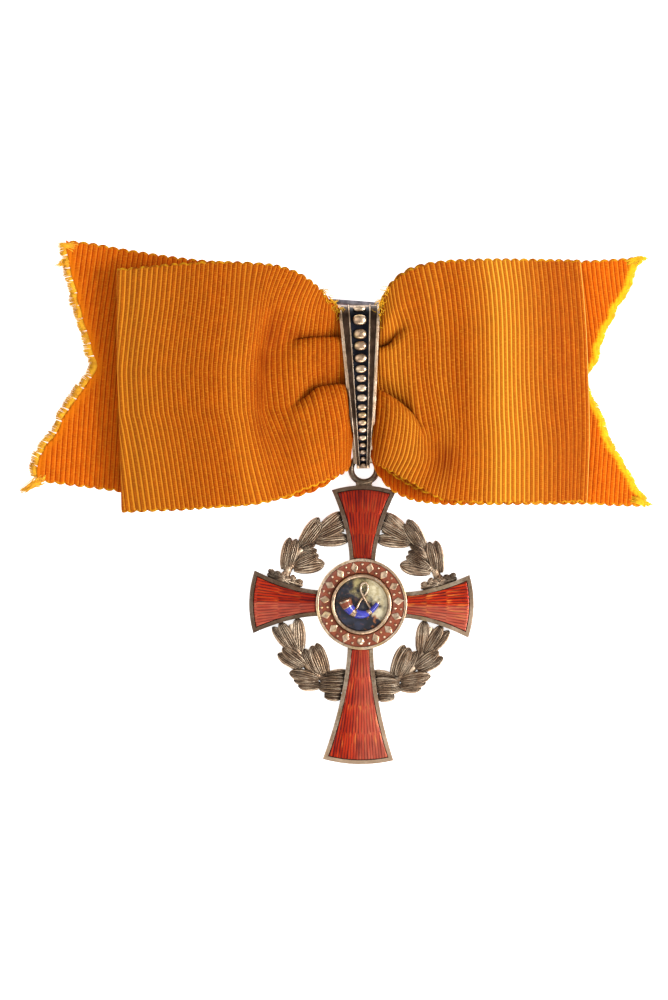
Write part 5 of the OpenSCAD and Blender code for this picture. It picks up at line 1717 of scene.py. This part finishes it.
class BADGE_OT_wreath(bpy.types.Operator):
    """The two laurel branches, their stems and their soldered feet"""

    bl_idname = "badge.wreath"
    bl_label = "Wreath"

    def execute(self, context):
        metal = settings()[1]
        gilt = old_gilt("leaf_gilt", metal, 0.0006, 0.75, veins=True, tone=1.04, yellow=0.05)
        leaf = begin(
            bpy.ops.mesh.primitive_grid_add, "leaf", x_subdivisions=len(LEAF_RIBS) - 1,
            y_subdivisions=len(LEAF_SHAPE) - 1, size=2,
        )
        across, along = rows_of(0), rows_of(1)
        for height, column in zip(LEAF_RIBS, across):
            pick_numbers(column)
            slide(z=LEAF_RELIEF * height)
        for k, ((share, half), row) in enumerate(zip(LEAF_SHAPE, along)):
            pick_numbers(row)
            scale(x=half, z=0.35 + 0.65 * half)
            slide(y=share - (2 * k / (len(LEAF_SHAPE) - 1) - 1), z=0.16 * math.sin(math.pi * share))
        everything()
        bpy.ops.mesh.region_to_loop()
        pull(z=-1.0)
        pick("edges", lambda e: e.is_boundary)
        bpy.ops.mesh.edge_face_add()
        tidy_faces()
        shut()
        halves = []
        for x0, y0, x1, y1, width, level in LEAVES:
            far = math.hypot(x1 - x0, y1 - y0)
            turn = math.degrees(math.atan2(y1 - y0, x1 - x0)) - 90
            size = (width / 2 * LEAF_WIDER, far * LEAF_LONGER, LEAF_THICK)
            halves.append(copy_of(leaf, (x0, y0, WREATH_Z + 0.1 + level), turn, size))
        discard(leaf)
        for bends in STEMS:
            points = [(x, y, WREATH_Z + STEM_TOP - r) for x, y, r in bends]
            halves.append(rod("stem", points, [r for _, _, r in bends], 3))
        foot = begin(bpy.ops.mesh.primitive_uv_sphere_add, "foot", segments=14, ring_count=8, radius=1)
        pick("verts", lambda v: v.co.z > 0.4)
        scale(x=0.9, y=1.06)
        shut()
        for k, (x, y, r) in enumerate(FEET):
            size = (r * 1.15, r * 0.85, 0.6)
            halves.append(copy_of(foot, (x, y, WREATH_Z + 0.55), FEET_TURN + 50 * k, size))
        halves.append(copy_of(foot, (12.0, 3.5, WREATH_Z + 0.45), FEET_TURN, (3.0, 0.85, 0.6)))
        discard(foot)
        right = joined("wreath_right", halves)
        left = copy_of(right, size=(-1, 1, 1))
        left.name = left.data.name = "wreath_left"
        open_up(left)
        bpy.ops.mesh.normals_make_consistent(inside=False)
        shut()
        for piece in (right, left):
            settle(piece)
            hand_over(piece, gilt, ["cross_frame"], 50)
        return {"FINISHED"}


# Ring: place of its middle, its radius and the wire's; neck: size, place of its middle and its waist
RING_X, RING_Y, RING_Z, RING_R, RING_WIRE = 3.9, 5.15, 1.4, 2.03, 0.5
NECK_SIZE, NECK_Y, NECK_WAIST_Y = (2.7, 1.3, 0.9), 2.7, 2.75


class BADGE_OT_ring(bpy.types.Operator):
    """The suspension ring and the neck that joins it to the top arm"""

    bl_idname = "badge.ring"
    bl_label = "Ring"

    def execute(self, context):
        gilt = old_gilt("ring_gilt", settings()[1], 0.0006, 1.2, tone=0.36)
        ring = begin(
            bpy.ops.mesh.primitive_torus_add, "ring", location=(RING_X, RING_Y, RING_Z),
            major_radius=RING_R, minor_radius=RING_WIRE, major_segments=72, minor_segments=18,
        )
        pick("verts", lambda v: v.co.y < 3.9)
        scale(z=1.12, about=(RING_X, 3.1, RING_Z))
        shut()
        middle_at = (RING_X, NECK_Y, RING_Z)
        neck = begin(bpy.ops.mesh.primitive_cube_add, "ring_neck", size=1, location=middle_at)
        scale(*NECK_SIZE, middle_at)
        for y in (2.35, NECK_WAIST_Y, 3.05):
            everything()
            bpy.ops.mesh.bisect(plane_co=(0, y, 0), plane_no=(0, 1, 0))
        for test, x, z in (
            (lambda v: v.co.y < 2.2, 1.15, 1.0),
            (lambda v: abs(v.co.y - NECK_WAIST_Y) < 0.05, 0.93, 1.1),
            (lambda v: v.co.y > 3.2, 0.8, 1.0),
        ):
            pick("verts", test)
            scale(x=x, z=z, about=(RING_X, 2, RING_Z))
        shut()
        soften(neck, 0.16, 3)
        for piece in (ring, neck):
            place(piece)
            hand_over(piece, gilt, ["cross_frame"])
        return {"FINISHED"}


OPERATORS = (
    BADGE_OT_stage,
    BADGE_OT_bow,
    BADGE_OT_tails,
    BADGE_OT_pin,
    BADGE_OT_bail,
    BADGE_OT_arms,
    BADGE_OT_medallion,
    BADGE_OT_horn,
    BADGE_OT_wreath,
    BADGE_OT_ring,
)
STEPS = tuple(operator.bl_idname for operator in OPERATORS)


class BADGE_PT_panel(bpy.types.Panel):
    """Lists the steps that make the badge, and its sizes and colours"""

    bl_idname = "BADGE_PT_panel"
    bl_label = "Honour badge"
    bl_space_type = "VIEW_3D"
    bl_region_type = "UI"
    bl_category = "Badge"

    def draw(self, context):
        for step in STEPS:
            self.layout.operator(step)
        for group in settings():
            box = self.layout.box()
            for key in group.__annotations__:
                box.prop(group, key)


GROUPS = (
    ("badge_ribbon", RibbonSettings),
    ("badge_metal", MetalSettings),
    ("badge_enamel", EnamelSettings),
    ("badge_stage", StageSettings),
)


def register():
    for key, group in GROUPS:
        bpy.utils.register_class(group)
        setattr(bpy.types.Scene, key, PointerProperty(type=group))
    for operator in OPERATORS:
        bpy.utils.register_class(operator)
    bpy.utils.register_class(BADGE_PT_panel)


def unregister():
    bpy.utils.unregister_class(BADGE_PT_panel)
    for operator in reversed(OPERATORS):
        bpy.utils.unregister_class(operator)
    for key, group in reversed(GROUPS):
        delattr(bpy.types.Scene, key)
        bpy.utils.unregister_class(group)


def main():
    register()
    for step in STEPS:
        family, name = step.split(".")
        getattr(getattr(bpy.ops, family), name)()
    only()


if __name__ == "__main__":
    main()
